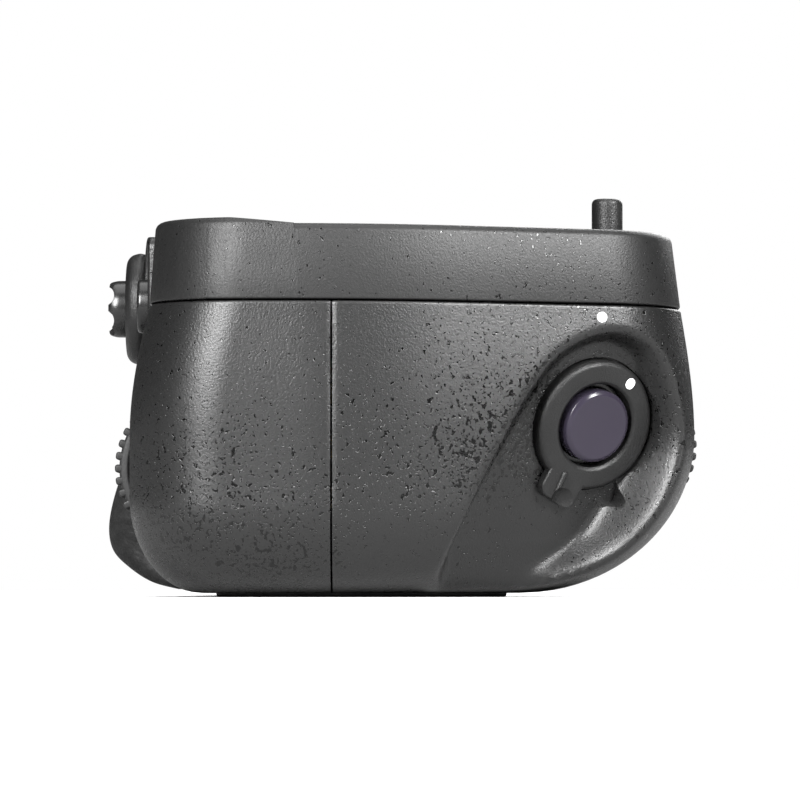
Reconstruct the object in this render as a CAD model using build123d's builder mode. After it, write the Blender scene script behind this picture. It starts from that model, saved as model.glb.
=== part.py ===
from build123d import *
import os
from math import pi, sin, sqrt

# A vertical battery grip for a stereo or single-lens camera. Millimetres, +Z up.
# Origin: the mouth of the tripod socket in the base. +X: the release end, +Y: the lens side.

os.makedirs("parts", exist_ok=True)

# ---------------------------------------------------------------- driving dimensions
rim_z = 0.5  # lower rim of the shells
belly_z = 20.0  # widest height of the body
joint_z = 36.3  # joint between the shells and the top frame
frame_height = 9.6
seat_z = joint_z + frame_height  # face that the camera sits on
lip_rise = 0.75  # raised rear corner of the seat
lip_y = (-21.0, -13.0)  # between these it slopes down to the seat
lip_x = 31.0
frame_edge = 1.0  # rounding of the seat's edge
wall = 2.0
seam_gap = 0.25
seam_y = -8.4  # joint between the front and rear shells

right_x = 80.0
left_x = 68.0
rear_y = 31.2
grip_y = 35.6  # front of the hand grip
flat_y = 14.5  # front of the battery side
knuckle_y = -3.0  # where the release end starts to slope back
slope_x = 14.0  # how far it has sloped back at the front
grip_root_x = 30.0
grip_foot_x = 22.0
corner_r = {"left_rear": 6.0, "right_rear": 12.0, "knuckle": 60.0, "grip": 14.0,
            "grip_root": 12.0, "grip_foot": 10.0, "left_front": 5.0}

rear_tuck = (9.0, 12.0)  # reach and height of the roll under the body
grip_tuck = (22.0, 20.0)
end_tuck = (9.0, 11.0)
left_tuck = (4.0, 5.0)
flat_tuck = (4.0, 5.0)
tuck_steps = [0.0, 0.6, 1.8, 4.2, 8.2, 13.2]

base_edge = 1.5  # shell flange round the base plate
fit_gap = 0.15
screw_r = 3.1  # 1/4-20 thread, smooth stand-in
socket_depth = 5.4

chamber_y = (-25.8, 7.8)
chamber_z = (7.0, joint_z - 3.3)
chamber_end_x = 19.0
liner_wall = 1.0
liner_x = wall + 1.3 - left_x  # mouth of the battery chamber
tray_gap = 0.2
tray_wall = 1.2
cap_thickness = 3.0
cap_r = 4.0
knob_r = 7.0
knob_y = -9.0
latch_reach = 14.2
latch_overlap = 1.2  # how far the turned arm stands into the slot in the roof
knob_z = chamber_z[1] + latch_overlap - latch_reach
terminals_z = [knob_z - 7, knob_z, knob_z + 7]
latch_half = 2.5  # half the latch arm's width
latch_x = (liner_x + 0.3, liner_x + 2.1)
pack_size = (72.0, 30.0, 22.0)

chassis_z = (joint_z - 1.3, joint_z + 0.1)
skirt_drop = 3.0
skirt_width = 0.9
skirt_inner = wall + fit_gap + skirt_width
chassis_inset = skirt_inner + 0.35
post_r = 2.6
wheel_r = 16.6
wheel_z = (joint_z + 1.3, joint_z + 6.5)
wheel_teeth = 60
clamp_r = 3.175  # 1/4-20 camera screw, smooth stand-in
neck_r = 2.8  # relieved neck that keeps the screw captive
proud = 0.2  # how far the neck and the pin's root stand over the seat
journal_r = 2.5
seat_plate = 2.5
roof_z = seat_z - seat_plate
frame_gap = 0.2  # dark joint line under the top frame

facet_centre = Vector(64.2, 23.9, 21.7)
facet_normal = Vector(0.82, 0.506, -0.269)
ring_r = 8.3
button_r = 4.6
guide_r = 5.3
ring_pocket = 0.6
ring_top = 1.4
plunger_r = 1.6
button_top = 1.9
lever_r = 10.8
lever_angle = -115.0

front_dial_x = 46.5
front_dial_y = 29.0
front_dial_z = 19.2
front_dial_r = 9.1
rear_dial_x = 62.0
rear_dial_y = -25.2
rear_dial_z = 16.1
rear_dial_r = 10.5
dial_width = 5.4
axle_r = 1.5
running_gap = 0.05
dial_teeth = 30
dial_gap = 0.5
cheek_thickness = 1.2

panel_face_y = -31.6
panel_x = (36.5, 66.0)
panel_z = (joint_z - 10.3, seat_z - 0.8)
panel_thickness = 2.6
panel_back_y = panel_face_y + panel_thickness
selector_x = 47.5
selector_z = joint_z + 0.7
selector_r = 7.2
centre_button_r = 3.65
pivot_y = panel_face_y + 4.1  # centre that the selector tilts about
bezel_r = (8.2, 9.3)
cage_r = (5.1, 6.3)
af_x = 61.0
af_z = joint_z + 0.3
af_r = 3.4

pin_x = 45.0
pin_y = 26.8
pin_r = 2.0
pin_root_r = 2.2
pin_top_z = seat_z + 5.5
clamp_top_z = seat_z + 4.5

contact_x = (20.0, 42.0)
contact_y = (-12.0, -4.0)
contact_top_z = seat_z + 1.8
contacts_at = [((contact_x[0] + contact_x[1]) / 2 + 4 * i, (contact_y[0] + contact_y[1]) / 2 + 1.7 * j)
               for i in range(-2, 3) for j in (-1, 1)]

feet = [(-54.0, -18.0), (-54.0, 0.0), (10.0, -18.0), (10.0, 0.0)]
lugs = [(-30.0, -19.3), (44.0, -19.3), (-30.0, 6.0), (48.0, 9.5)]
posts = [(28.0, -14.0), (62.0, -4.0), (36.0, 9.2)]
frame_screws_at = [(-58.0, 6.0), (-58.0, -22.0), (-24.0, -22.0), (-25.0, 7.0),
                   (28.0, 7.0), (25.0, -22.0), (70.0, -10.0), (36.0, 26.5)]
board_x = (31.0, 58.0)
board_y = (-18.0, 6.0)
board_z = (chassis_z[0] - 6.0, chassis_z[0] - 4.8)
chips = [(44.5, -10.0, 9, 9, 1.6), (44.5, 1.0, 6, 4, 1.2), (53.0, -4.0, 4, 6, 1.8)]
screw_shank_r = 1.0
screw_head_r = 2.0


# ---------------------------------------------------------------- the body's form
def belly(z):
    """0 at the frame joint, 1 at the widest height and below it."""
    if z >= joint_z:
        return 0.0
    return sin(pi / 2 * min(1.0, (joint_z - z) / (joint_z - belly_z)))


def tuck(z, reach_height):
    """How far the surface has rolled under the body at height z."""
    reach, height = reach_height
    rise = max(0.0, (z - rim_z) / height)
    return 0.0 if rise >= 1 else reach * (1 - sqrt(1 - (1 - rise) ** 2))


def outline(z, skin):
    """Plan outline at height z, set in by skin, as corners and corner radii."""
    up = max(0.0, z - joint_z)
    out = belly(z)
    rear = -(rear_y + 2.4 * out - 0.07 * up - tuck(z, rear_tuck) - skin)
    grip = grip_y + 1.7 * out - 0.12 * up - tuck(z, grip_tuck) - skin
    flat = flat_y - 0.05 * up - tuck(z, flat_tuck) - skin
    right = right_x + 0.8 * out - 0.12 * up - tuck(z, end_tuck) - skin
    left = -(left_x - 0.05 * up - tuck(z, left_tuck) - skin)
    shrink = tuck(z, end_tuck) / end_tuck[0]
    corners = [(left, rear), (right, rear), (right, knuckle_y), (right - slope_x, grip),
               (grip_root_x, grip), (grip_foot_x, flat), (left, flat)]
    radii = [corner_r["left_rear"] - skin,
             corner_r["right_rear"] - 5.5 * shrink - skin,
             corner_r["knuckle"] - 25 * shrink,
             corner_r["grip"] - skin,
             corner_r["grip_root"] - 4 * shrink - skin,
             corner_r["grip_foot"] - 4 * shrink,
             corner_r["left_front"] - skin]
    return corners, radii


def outline_face(z, skin, lift=0.0):
    """The outline of height z as a face, drawn lift higher."""
    corners, radii = outline(z, skin)
    with BuildSketch(Plane.XY.offset(z + lift)) as face:
        with BuildLine():
            FilletPolyline(*corners, radius=radii, close=True)
        make_face()
    return face.sketch


def lower_form(skin, lift=0.0):
    """The body below the frame joint as one solid, set in by skin and raised by lift."""
    rise = joint_z - belly_z
    heights = [rim_z + step for step in tuck_steps]
    heights += [belly_z + part * rise for part in (0.0, 0.28, 0.55, 0.8, 1.0)]
    with BuildPart() as form:
        loft([outline_face(z, skin, lift) for z in heights], ruled=True)
    return form.part


def upper_form(skin, top, bottom=joint_z):
    """The body above the frame joint, from bottom to top, set in by skin."""
    with BuildPart() as form:
        loft([outline_face(bottom, skin), outline_face(top, skin)], ruled=True)
    return form.part


def rounded_form(top):
    """The body above the frame joint, with a small round on its lower and upper edges."""
    with BuildPart() as form:
        bottom = joint_z + frame_gap
        sections = [(bottom, 0.3), (bottom + 0.3, 0.0)]
        for turn in (0.0, 0.35, 0.7, 0.93, 1.0):
            sections.append((top - frame_edge * (1 - turn), frame_edge * (1 - sqrt(1 - turn**2))))
        loft([outline_face(z, inset) for z, inset in sections], ruled=True)
    return form.part


def block(x, y, z):
    """A plain box between two limits on each axis."""
    with BuildPart() as box:
        with Locations(((x[0] + x[1]) / 2, (y[0] + y[1]) / 2, (z[0] + z[1]) / 2)):
            Box(x[1] - x[0], y[1] - y[0], z[1] - z[0])
    return box.part


def rod(x, y, z, r):
    """An upright cylinder between two heights."""
    with BuildPart() as cylinder:
        with Locations((x, y, (z[0] + z[1]) / 2)):
            Cylinder(r, z[1] - z[0])
    return cylinder.part


def rod_x(x, y, z, r):
    """A cylinder along X between two limits."""
    with BuildPart() as cylinder:
        with Locations(((x[0] + x[1]) / 2, y, z)):
            Cylinder(r, x[1] - x[0], rotation=(0, 90, 0))
    return cylinder.part


def rod_y(x, y, z, r):
    """A cylinder along Y between two limits."""
    with BuildPart() as cylinder:
        with Locations((x, (y[0] + y[1]) / 2, z)):
            Cylinder(r, y[1] - y[0], rotation=(90, 0, 0))
    return cylinder.part


def rounded_x(x, y, z, r):
    """A box along X with its four long edges rounded."""
    with BuildPart() as box:
        with BuildSketch(Plane.YZ.offset(x[0])):
            with Locations(((y[0] + y[1]) / 2, (z[0] + z[1]) / 2)):
                RectangleRounded(y[1] - y[0], z[1] - z[0], r)
        extrude(amount=x[1] - x[0])
    return box.part


def outline_band(outer, inner, z):
    """A wall that follows the joint's outline between two insets and two heights."""
    with BuildPart() as band:
        for skin, mode in ((outer, Mode.ADD), (inner, Mode.SUBTRACT)):
            corners, radii = outline(joint_z, skin)
            with BuildSketch(Plane.XY.offset(z[0])):
                with BuildLine():
                    FilletPolyline(*corners, radius=radii, close=True)
                make_face()
            extrude(amount=z[1] - z[0], mode=mode)
    return band.part


far = 120.0
through_chassis = (chassis_z[0] - 5, chassis_z[1] + 3.6)
body_form = lower_form(0.0)
cavity_form = lower_form(wall, lift=wall)
inner_form = lower_form(wall + 0.2, lift=wall)
facet = Plane(origin=facet_centre, x_dir=Vector(0, 0, 1).cross(facet_normal), z_dir=facet_normal)


def on_facet(depth=0.0):
    """The release button's plane, moved outwards by depth."""
    return facet.offset(depth)


def rod_facet(depth, r):
    """A cylinder on the release button's axis between two depths."""
    with BuildPart() as cylinder:
        with BuildSketch(on_facet(depth[0])):
            Circle(r)
        extrude(amount=depth[1] - depth[0])
    return cylinder.part


# ---------------------------------------------------------------- cutting tools for the shells
with BuildPart() as scoop:
    # the hollow that the release button stands in: everything outside the facet, inside the ridge
    with BuildSketch(Plane.YZ.offset(40)):
        with BuildLine():
            Spline((4.9, 0.6), (5.8, 4.7), (8.6, 10.8), (12.2, 18.2), (16.3, 25.6),
                   (20.4, 30.6), (26.6, 33.1), (32.4, 30.8), (35.3, 24.0), (35.4, 17.0),
                   (31.6, 9.2), (25.2, 3.8), (14.5, 0.6), periodic=True)
        make_face()
    extrude(amount=60)
    with BuildSketch(facet):
        Rectangle(120, 120)
    extrude(amount=60, mode=Mode.INTERSECT)

with BuildPart() as base_opening:
    with BuildSketch():
        add(outline_face(rim_z, base_edge))
    extrude(amount=12)

tray_opening = rounded_x((-left_x - 3, -left_x + wall + 3),
                         (chamber_y[0] - fit_gap, chamber_y[1] + fit_gap),
                         (chamber_z[0] - fit_gap, chamber_z[1] + fit_gap), cap_r)
panel_window = block((panel_x[0] - fit_gap, panel_x[1] + fit_gap), (-40, panel_back_y + 1),
                     (panel_z[0] - fit_gap, panel_z[1] + fit_gap))
slot_half = dial_width / 2 + dial_gap
front_dial_slot = rod_x((front_dial_x - slot_half, front_dial_x + slot_half),
                        front_dial_y, front_dial_z, front_dial_r + dial_gap)
rear_dial_slot = rod_x((rear_dial_x - slot_half, rear_dial_x + slot_half),
                       rear_dial_y, rear_dial_z, rear_dial_r + dial_gap)
release_hole = rod_facet((-20, 5), guide_r + fit_gap) + rod_facet((-ring_pocket, 5), ring_r + 0.3)
lug_z = (rim_z + wall, chamber_z[0] - liner_wall - 0.2)


def lug(x, y, side):
    """A screw lug that stands inside the shell wall, on the base plate."""
    reach = block((x - 3.5, x + 3.5), (y - 3, side) if side > y else (side, y + 3), lug_z)
    return (reach & body_form) - rod(x, y, (-1, lug_z[1] + 1), screw_shank_r)


# ---------------------------------------------------------------- housing
# the floor of the scoop is a wall of its own, parallel to the facet
with BuildPart() as scoop_floor:
    with BuildSketch(facet):
        Rectangle(90, 90)
    extrude(amount=-wall)
    add(body_form, mode=Mode.INTERSECT)
    add(block((40, far), (3.0, far), (-5, chassis_z[0] - 0.3)), mode=Mode.INTERSECT)

# a tongue behind the rear shell closes the seam at the release end
tongue_z = (5, joint_z - skirt_drop - 0.4)
with BuildPart() as tongue:
    add(lower_form(wall + fit_gap, lift=wall))
    add(lower_form(wall + 1.1, lift=wall), mode=Mode.SUBTRACT)
    add(block((60, far), (seam_y - 1.6, seam_y + 2.2), tongue_z), mode=Mode.INTERSECT)

with BuildPart() as tongue_root:
    add(lower_form(wall - 0.1, lift=wall))
    add(lower_form(wall + 1.1, lift=wall), mode=Mode.SUBTRACT)
    add(block((60, far), (seam_y + 0.4, seam_y + 2.2), tongue_z), mode=Mode.INTERSECT)

with BuildPart() as front_shell:
    add(body_form - cavity_form)
    add(block((-far, far), (seam_y + seam_gap / 2, far), (-5, joint_z)), mode=Mode.INTERSECT)
    add(scoop.part, mode=Mode.SUBTRACT)
    add(scoop_floor.part)
    add(release_hole, mode=Mode.SUBTRACT)
    add(base_opening.part, mode=Mode.SUBTRACT)
    add(tray_opening, mode=Mode.SUBTRACT)
    add(front_dial_slot, mode=Mode.SUBTRACT)
    add(lug(*lugs[2], 16))
    add(lug(*lugs[3], 38))
    add(tongue.part)
    add(tongue_root.part)

with BuildPart() as rear_shell:
    add(body_form - cavity_form)
    add(block((-far, far), (-far, seam_y - seam_gap / 2), (-5, joint_z)), mode=Mode.INTERSECT)
    add(base_opening.part, mode=Mode.SUBTRACT)
    add(tray_opening, mode=Mode.SUBTRACT)
    add(panel_window, mode=Mode.SUBTRACT)
    add(rear_dial_slot, mode=Mode.SUBTRACT)
    add(lug(*lugs[0], -36))
    add(lug(*lugs[1], -36))

slot_half_x = sqrt(wheel_r**2 - (flat_y - skirt_inner)**2) + 0.5
# the rear corner by the release end stands a little higher
with BuildPart() as lip:
    with BuildSketch(Plane.YZ.offset(lip_x)):
        with BuildLine():
            Polyline((-far, seat_z - 3), (-far, seat_z + lip_rise), (lip_y[0], seat_z + lip_rise),
                     (lip_y[1], seat_z), (lip_y[1], seat_z - 3), close=True)
        make_face()
    extrude(amount=far)
    add(rounded_form(seat_z + lip_rise), mode=Mode.INTERSECT)

with BuildPart() as top_frame:
    add(rounded_form(seat_z))
    add(block((lip_x, far), (-far, lip_y[1]), (seat_z - 3, far)), mode=Mode.SUBTRACT)
    add(lip.part)
    add(upper_form(wall, roof_z, bottom=joint_z - 8), mode=Mode.SUBTRACT)
    add(outline_band(wall + fit_gap, skirt_inner, (joint_z - skirt_drop, joint_z + 2)))
    add(outline_band(wall - 0.2, skirt_inner, (joint_z + frame_gap + 0.15, joint_z + 2.1)))
    for x, y in frame_screws_at:
        add(rod(x, y, (chassis_z[1], roof_z + 0.5), 3.0))
    add(rod(pin_x, pin_y, (roof_z - 1.9, roof_z + 0.5), 4.0))
    add(block((-slot_half_x, slot_half_x), (0, 20), (wheel_z[0] - 0.4, wheel_z[1] + 0.4)),
        mode=Mode.SUBTRACT)
    add(block((56, far), (12, 37), (joint_z - 8, joint_z)), mode=Mode.SUBTRACT)
    add(panel_window, mode=Mode.SUBTRACT)
    add(block((panel_x[0] - 1, panel_x[1] + 1), (wall - rear_y - 0.4, skirt_inner - rear_y + 1.15),
              (joint_z - 8, joint_z + 2.2)),
        mode=Mode.SUBTRACT)
    add(rod(0, 0, (roof_z - 1, far), clamp_r + 0.45), mode=Mode.SUBTRACT)
    add(rod(pin_x, pin_y, (roof_z - 5, far), pin_root_r), mode=Mode.SUBTRACT)
    add(block((contact_x[0] - 0.3, contact_x[1] + 0.3), (contact_y[0] - 0.3, contact_y[1] + 0.3),
              (roof_z - 1, far)), mode=Mode.SUBTRACT)
    for x, y in frame_screws_at:
        add(rod(x, y, (chassis_z[1] - 1, far), screw_shank_r + fit_gap), mode=Mode.SUBTRACT)
        add(rod(x, y, (seat_z - 1.5, far), screw_head_r + fit_gap), mode=Mode.SUBTRACT)

with BuildPart() as base_plate:
    with BuildSketch():
        add(outline_face(rim_z, base_edge + fit_gap))
    extrude(amount=rim_z + wall)
    fillet(base_plate.faces().sort_by(Axis.Z)[0].edges(), radius=0.4)
    add(rod(0, 0, (-1, 5), 5.0 + running_gap), mode=Mode.SUBTRACT)
    for x, y in feet + lugs + posts:
        add(rod(x, y, (-1, 5), screw_shank_r + fit_gap), mode=Mode.SUBTRACT)
        add(rod(x, y, (-1, 1.5), screw_head_r + fit_gap), mode=Mode.SUBTRACT)

with BuildPart() as tripod_socket:
    add(rod(0, 0, (0, chamber_z[0] - liner_wall - 0.1), 5.0))
    add(rod(0, 0, (rim_z + wall, rim_z + wall + 0.9), 6.5))
    add(rod(0, 0, (-1, socket_depth), screw_r), mode=Mode.SUBTRACT)

with BuildPart() as base_screws:
    for x, y in feet + lugs + posts:
        add(rod(x, y, (0.3, 1.5), screw_head_r))
        add(rod(x, y, (1.5, 5.4), screw_shank_r))
        add(block((x - 1.3, x + 1.3), (y - 0.25, y + 0.25), (0, 0.8)), mode=Mode.SUBTRACT)
        add(block((x - 0.25, x + 0.25), (y - 1.3, y + 1.3), (0, 0.8)), mode=Mode.SUBTRACT)

with BuildPart() as frame_screws:
    for x, y in frame_screws_at:
        add(rod(x, y, (seat_z - 1.5, seat_z - 0.3), screw_head_r))
        add(rod(x, y, (chassis_z[0] - 0.5, seat_z - 1.5), screw_shank_r))
        add(block((x - 1.3, x + 1.3), (y - 0.25, y + 0.25), (seat_z - 0.9, seat_z)), mode=Mode.SUBTRACT)
        add(block((x - 0.25, x + 0.25), (y - 1.3, y + 1.3), (seat_z - 0.9, seat_z)), mode=Mode.SUBTRACT)

with BuildPart() as chassis:
    with BuildSketch(Plane.XY.offset(chassis_z[0])):
        add(outline_face(joint_z, chassis_inset))
    extrude(amount=chassis_z[1] - chassis_z[0])
    add(block((panel_x[0] - 1, panel_x[1] + 1), (-far, pivot_y + 6), through_chassis),
        mode=Mode.SUBTRACT)
    for x, y in posts:
        add(rod(x, y, (rim_z + wall, chassis_z[0]), post_r))
        add(rod(x, y, (0, 6), screw_shank_r), mode=Mode.SUBTRACT)
    for x in (board_x[0] + 3, board_x[1] - 3):
        for y in (board_y[0] + 3, board_y[1] - 3):
            add(rod(x, y, (board_z[1], chassis_z[0]), 1.8))
    for x, y in frame_screws_at:
        add(rod(x, y, through_chassis, screw_shank_r), mode=Mode.SUBTRACT)
    add(rod(0, 0, through_chassis, 4.2), mode=Mode.SUBTRACT)
    add(block((33.5, 41.5), (-8.8, -7.2), through_chassis), mode=Mode.SUBTRACT)

# ---------------------------------------------------------------- rear controls
with BuildPart() as rear_control_panel:
    add(block(panel_x, (panel_face_y, panel_back_y), panel_z))
    fillet(rear_control_panel.edges().filter_by(Axis.Y), radius=1.5)
    fillet(rear_control_panel.faces().sort_by(Axis.Y)[0].edges(), radius=0.5)
    add(rod_y(selector_x, (-40, -20), selector_z, 3.2), mode=Mode.SUBTRACT)
    add(rod_y(af_x, (-40, -20), af_z, af_r + running_gap), mode=Mode.SUBTRACT)

with BuildPart() as selector_bezel:
    add(rod_y(selector_x, (panel_face_y - 0.9, panel_face_y), selector_z, bezel_r[1]))
    add(rod_y(selector_x, (-40, -20), selector_z, bezel_r[0]), mode=Mode.SUBTRACT)
    chamfer(selector_bezel.faces().sort_by(Axis.Y)[0].edges(), length=0.3)

with BuildPart() as selector_cage:
    add(rod_y(selector_x, (panel_back_y, pivot_y + 4.5), selector_z, cage_r[1]))
    add(rod_y(selector_x, (panel_back_y - 1, pivot_y + 3.5), selector_z, cage_r[0]), mode=Mode.SUBTRACT)
    add(rod(selector_x, pivot_y, (selector_z - 10, selector_z + 10), 0.65), mode=Mode.SUBTRACT)

with BuildPart() as selector_switch:
    add(block((selector_x - 3, selector_x + 3), (pivot_y + 2.3, pivot_y + 3.5),
              (selector_z - 3, selector_z + 3)))
    add(rod_y(selector_x, (pivot_y + 2.0, pivot_y + 2.5), selector_z, 1.2))

with BuildPart() as selector_gimbal:
    add(rod_y(selector_x, (pivot_y - 0.8, pivot_y + 0.8), selector_z, 4.7))
    add(rod_y(selector_x, (-40, -20), selector_z, 3.5), mode=Mode.SUBTRACT)
    add(rod_x((selector_x - 10, selector_x + 10), pivot_y, selector_z, 0.55), mode=Mode.SUBTRACT)
    add(rod(selector_x, pivot_y, (selector_z + 4.2, selector_z + 6.1), 0.6))
    add(rod(selector_x, pivot_y, (selector_z - 6.1, selector_z - 4.2), 0.6))

with BuildPart() as selector_pad:
    add(rod_y(selector_x, (panel_face_y - 3.6, panel_face_y - 1.0), selector_z, selector_r))
    fillet(selector_pad.faces().sort_by(Axis.Y)[0].edges(), radius=1.8)
    add(rod_y(selector_x, (panel_face_y - 1.4, pivot_y + 1.0), selector_z, 2.4))
    add(rod_x((selector_x - 4.6, selector_x + 4.6), pivot_y, selector_z, 0.5))
    add(rod_y(selector_x, (panel_face_y - 4.4, panel_face_y - 2.0), selector_z,
              centre_button_r + running_gap), mode=Mode.SUBTRACT)
    add(rod_y(selector_x, (-40, -20), selector_z, 1.0 + running_gap), mode=Mode.SUBTRACT)

with BuildPart() as selector_button:
    add(rod_y(selector_x, (panel_face_y - 5.8, panel_face_y - 2.7), selector_z, centre_button_r))
    fillet(selector_button.faces().sort_by(Axis.Y)[0].edges(), radius=0.35)
    with Locations((selector_x, panel_face_y - 9.0, selector_z)):
        Sphere(4.0, mode=Mode.SUBTRACT)
    add(rod_y(selector_x, (panel_face_y - 2.8, pivot_y + 1.4), selector_z, 1.0))

with BuildPart() as af_button:
    add(rod_y(af_x, (panel_face_y - 1.5, panel_back_y + 0.2), af_z, af_r))
    fillet(af_button.faces().sort_by(Axis.Y)[0].edges(), radius=0.5)
    add(rod_y(af_x, (panel_back_y + 0.1, panel_back_y + 0.9), af_z, af_r + 0.6))

with BuildPart() as af_housing:
    add(rod_y(af_x, (panel_back_y, panel_back_y + 4.8), af_z, 4.9))
    add(rod_y(af_x, (panel_back_y - 1, panel_back_y + 4.0), af_z, 4.2), mode=Mode.SUBTRACT)

with BuildPart() as af_switch:
    add(block((af_x - 2.2, af_x + 2.2), (panel_back_y + 2.6, panel_back_y + 4.0),
              (af_z - 2.2, af_z + 2.2)))

# ---------------------------------------------------------------- rubber
with BuildPart() as thumb_rest:
    with BuildSketch(Plane.YZ.offset(18)):
        with BuildLine():
            Spline((-33.0, 20.5), (-34.9, 17.4), (-36.5, 13.4), (-37.4, 9.2), (-36.9, 6.0),
                   (-34.6, 3.6), (-31.6, 1.7), (-28.0, 0.9))
            Line((-28.0, 0.9), (-25.4, 0.9))
            Line((-25.4, 0.9), (-25.4, 20.5))
            Line((-25.4, 20.5), (-33.0, 20.5))
        make_face()
    extrude(amount=42)
    with BuildSketch(Plane.XY.offset(-2)):
        with BuildLine():
            FilletPolyline((19.5, -20), (24.5, -38.9), (54.0, -38.9), (57.6, -20),
                           radius=[0, 5.0, 3.5, 0], close=True)
        make_face()
    extrude(amount=30, mode=Mode.INTERSECT)
    add(body_form, mode=Mode.SUBTRACT)

with BuildPart() as front_grip_pad:
    add(block((9 - left_x, grip_foot_x - 7.5), (flat_y, flat_y + 1.0),
              (flat_tuck[1] + 1.2, joint_z - 2.2)))
    fillet(front_grip_pad.edges().filter_by(Axis.Y), radius=2.5)
    fillet(front_grip_pad.faces().sort_by(Axis.Y)[-1].edges(), radius=0.5)

# ---------------------------------------------------------------- battery chamber and tray
with BuildPart() as chamber_liner:
    add(rounded_x((liner_x, chamber_end_x + liner_wall),
                  (chamber_y[0] - liner_wall, chamber_y[1] + liner_wall),
                  (chamber_z[0] - liner_wall, chamber_z[1] + liner_wall), cap_r + liner_wall))
    add(rounded_x((liner_x - 1, chamber_end_x), chamber_y, chamber_z, cap_r), mode=Mode.SUBTRACT)
    for x, y in feet:
        add(rod(x, y, (rim_z + wall, chamber_z[0] - liner_wall + 0.5), 3.2))
        add(rod(x, y, (0, chamber_z[0] - liner_wall), screw_shank_r), mode=Mode.SUBTRACT)
        add(rod(x + 4, y, (chamber_z[1] + liner_wall - 0.5, chassis_z[0]), 3.0))
    # the slot in the roof that the end of the latch arm turns into
    add(block((latch_x[0] - 2, latch_x[1] + 0.4), (knob_y - 3.2, knob_y + 7.4),
              (chamber_z[1] - 3, chassis_z[1] + 1)), mode=Mode.SUBTRACT)
    for z in terminals_z:
        add(block((chamber_end_x - 4, chamber_end_x + 6), (-11, -7), (z - 2, z + 2)), mode=Mode.SUBTRACT)

with BuildPart() as chamber_contact_block:
    add(block((chamber_end_x + liner_wall, chamber_end_x + liner_wall + 2.5), (-14, -4),
              (knob_z - 11, knob_z + 11)))
    for z in terminals_z:
        add(block((chamber_end_x - 4, chamber_end_x + 6), (-10.6, -7.4), (z - 1.6, z + 1.6)),
            mode=Mode.SUBTRACT)

with BuildPart() as chamber_contacts:
    for z in terminals_z:
        add(block((chamber_end_x - 1.15, chamber_end_x + 5), (-10.6, -7.4), (z - 1.5, z + 1.5)))

tray_x = (-left_x + cap_thickness, chamber_end_x - 1.5)
tray_y = (chamber_y[0] + tray_gap, chamber_y[1] - tray_gap)
tray_z = (chamber_z[0] + tray_gap, chamber_z[1] - tray_gap)
with BuildPart() as battery_tray:
    add(rounded_x(tray_x, tray_y, tray_z, cap_r - tray_gap))
    add(block((tray_x[0] - 1, tray_x[1] - tray_wall), (tray_y[0] + tray_wall, tray_y[1] - tray_wall),
              (tray_z[0] + tray_wall, far)), mode=Mode.SUBTRACT)
    for z in terminals_z:
        add(block((chamber_end_x - 4, chamber_end_x + 6), (-10.6, -7.4), (z - 1.6, z + 1.6)),
            mode=Mode.SUBTRACT)

with BuildPart() as tray_terminals:
    for z in terminals_z:
        add(block((tray_x[1] - tray_wall - 0.6, tray_x[1] + 0.2), (-10.5, -7.5), (z - 1.5, z + 1.5)))

with BuildPart() as tray_end_cap:
    add(rounded_x((-left_x, tray_x[0]), chamber_y, chamber_z, cap_r))
    chamfer(tray_end_cap.faces().sort_by(Axis.X)[0].edges(), length=0.4)
    add(rod_x((-left_x - 1, -left_x + 2.1), knob_y, knob_z, knob_r + 0.3), mode=Mode.SUBTRACT)
    add(rod_x((-left_x - 1, far), knob_y, knob_z, 2.0 + running_gap), mode=Mode.SUBTRACT)

with BuildPart() as latch_knob:
    add(rod_x((-left_x + 0.6, -left_x + 2.0), knob_y, knob_z, knob_r))
    add(block((-left_x - 0.2, -left_x + 1.0), (knob_y - 6.2, knob_y + 6.2), (knob_z - 1.3, knob_z + 1.3)))
    add(rod_x((-left_x + 1.8, latch_x[1]), knob_y, knob_z, 2.0))

with BuildPart() as latch_arm:
    add(block(latch_x, (knob_y, knob_y + latch_reach), (knob_z - latch_half, knob_z + latch_half)))
    add(rod_x(latch_x, knob_y, knob_z, 4.0))
    add(rod_x((latch_x[0] - 1, latch_x[1] + 1), knob_y, knob_z, 2.0), mode=Mode.SUBTRACT)

with BuildPart() as battery_pack:
    with Locations(((tray_x[1] - tray_wall - 1.6) - pack_size[0] / 2, (chamber_y[0] + chamber_y[1]) / 2,
                    tray_z[0] + tray_wall + pack_size[2] / 2)):
        Box(*pack_size)
    fillet(battery_pack.edges().filter_by(Axis.X), radius=3.0)

# ---------------------------------------------------------------- camera attachment
with BuildPart() as screw_bush:
    add(rod(0, 0, chassis_z, 4.2))
    add(rod(0, 0, (chassis_z[1], chassis_z[1] + 1.0), 5.5))
    add(rod(0, 0, through_chassis, journal_r + running_gap), mode=Mode.SUBTRACT)

with BuildPart() as clamp_wheel:
    with BuildSketch(Plane.XY.offset(wheel_z[0])):
        Circle(wheel_r)
        with PolarLocations(wheel_r + 0.1, wheel_teeth):
            Circle(0.5, mode=Mode.SUBTRACT)
        Circle(clamp_r, mode=Mode.SUBTRACT)
    extrude(amount=wheel_z[1] - wheel_z[0])
    for z in ((wheel_z[0] - 1, wheel_z[0] + 0.9), (wheel_z[1] - 0.9, wheel_z[1] + 1)):
        with BuildSketch(Plane.XY.offset(z[0])):
            Circle(wheel_r - 3)
            Circle(6.5, mode=Mode.SUBTRACT)
        extrude(amount=z[1] - z[0], mode=Mode.SUBTRACT)

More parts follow.
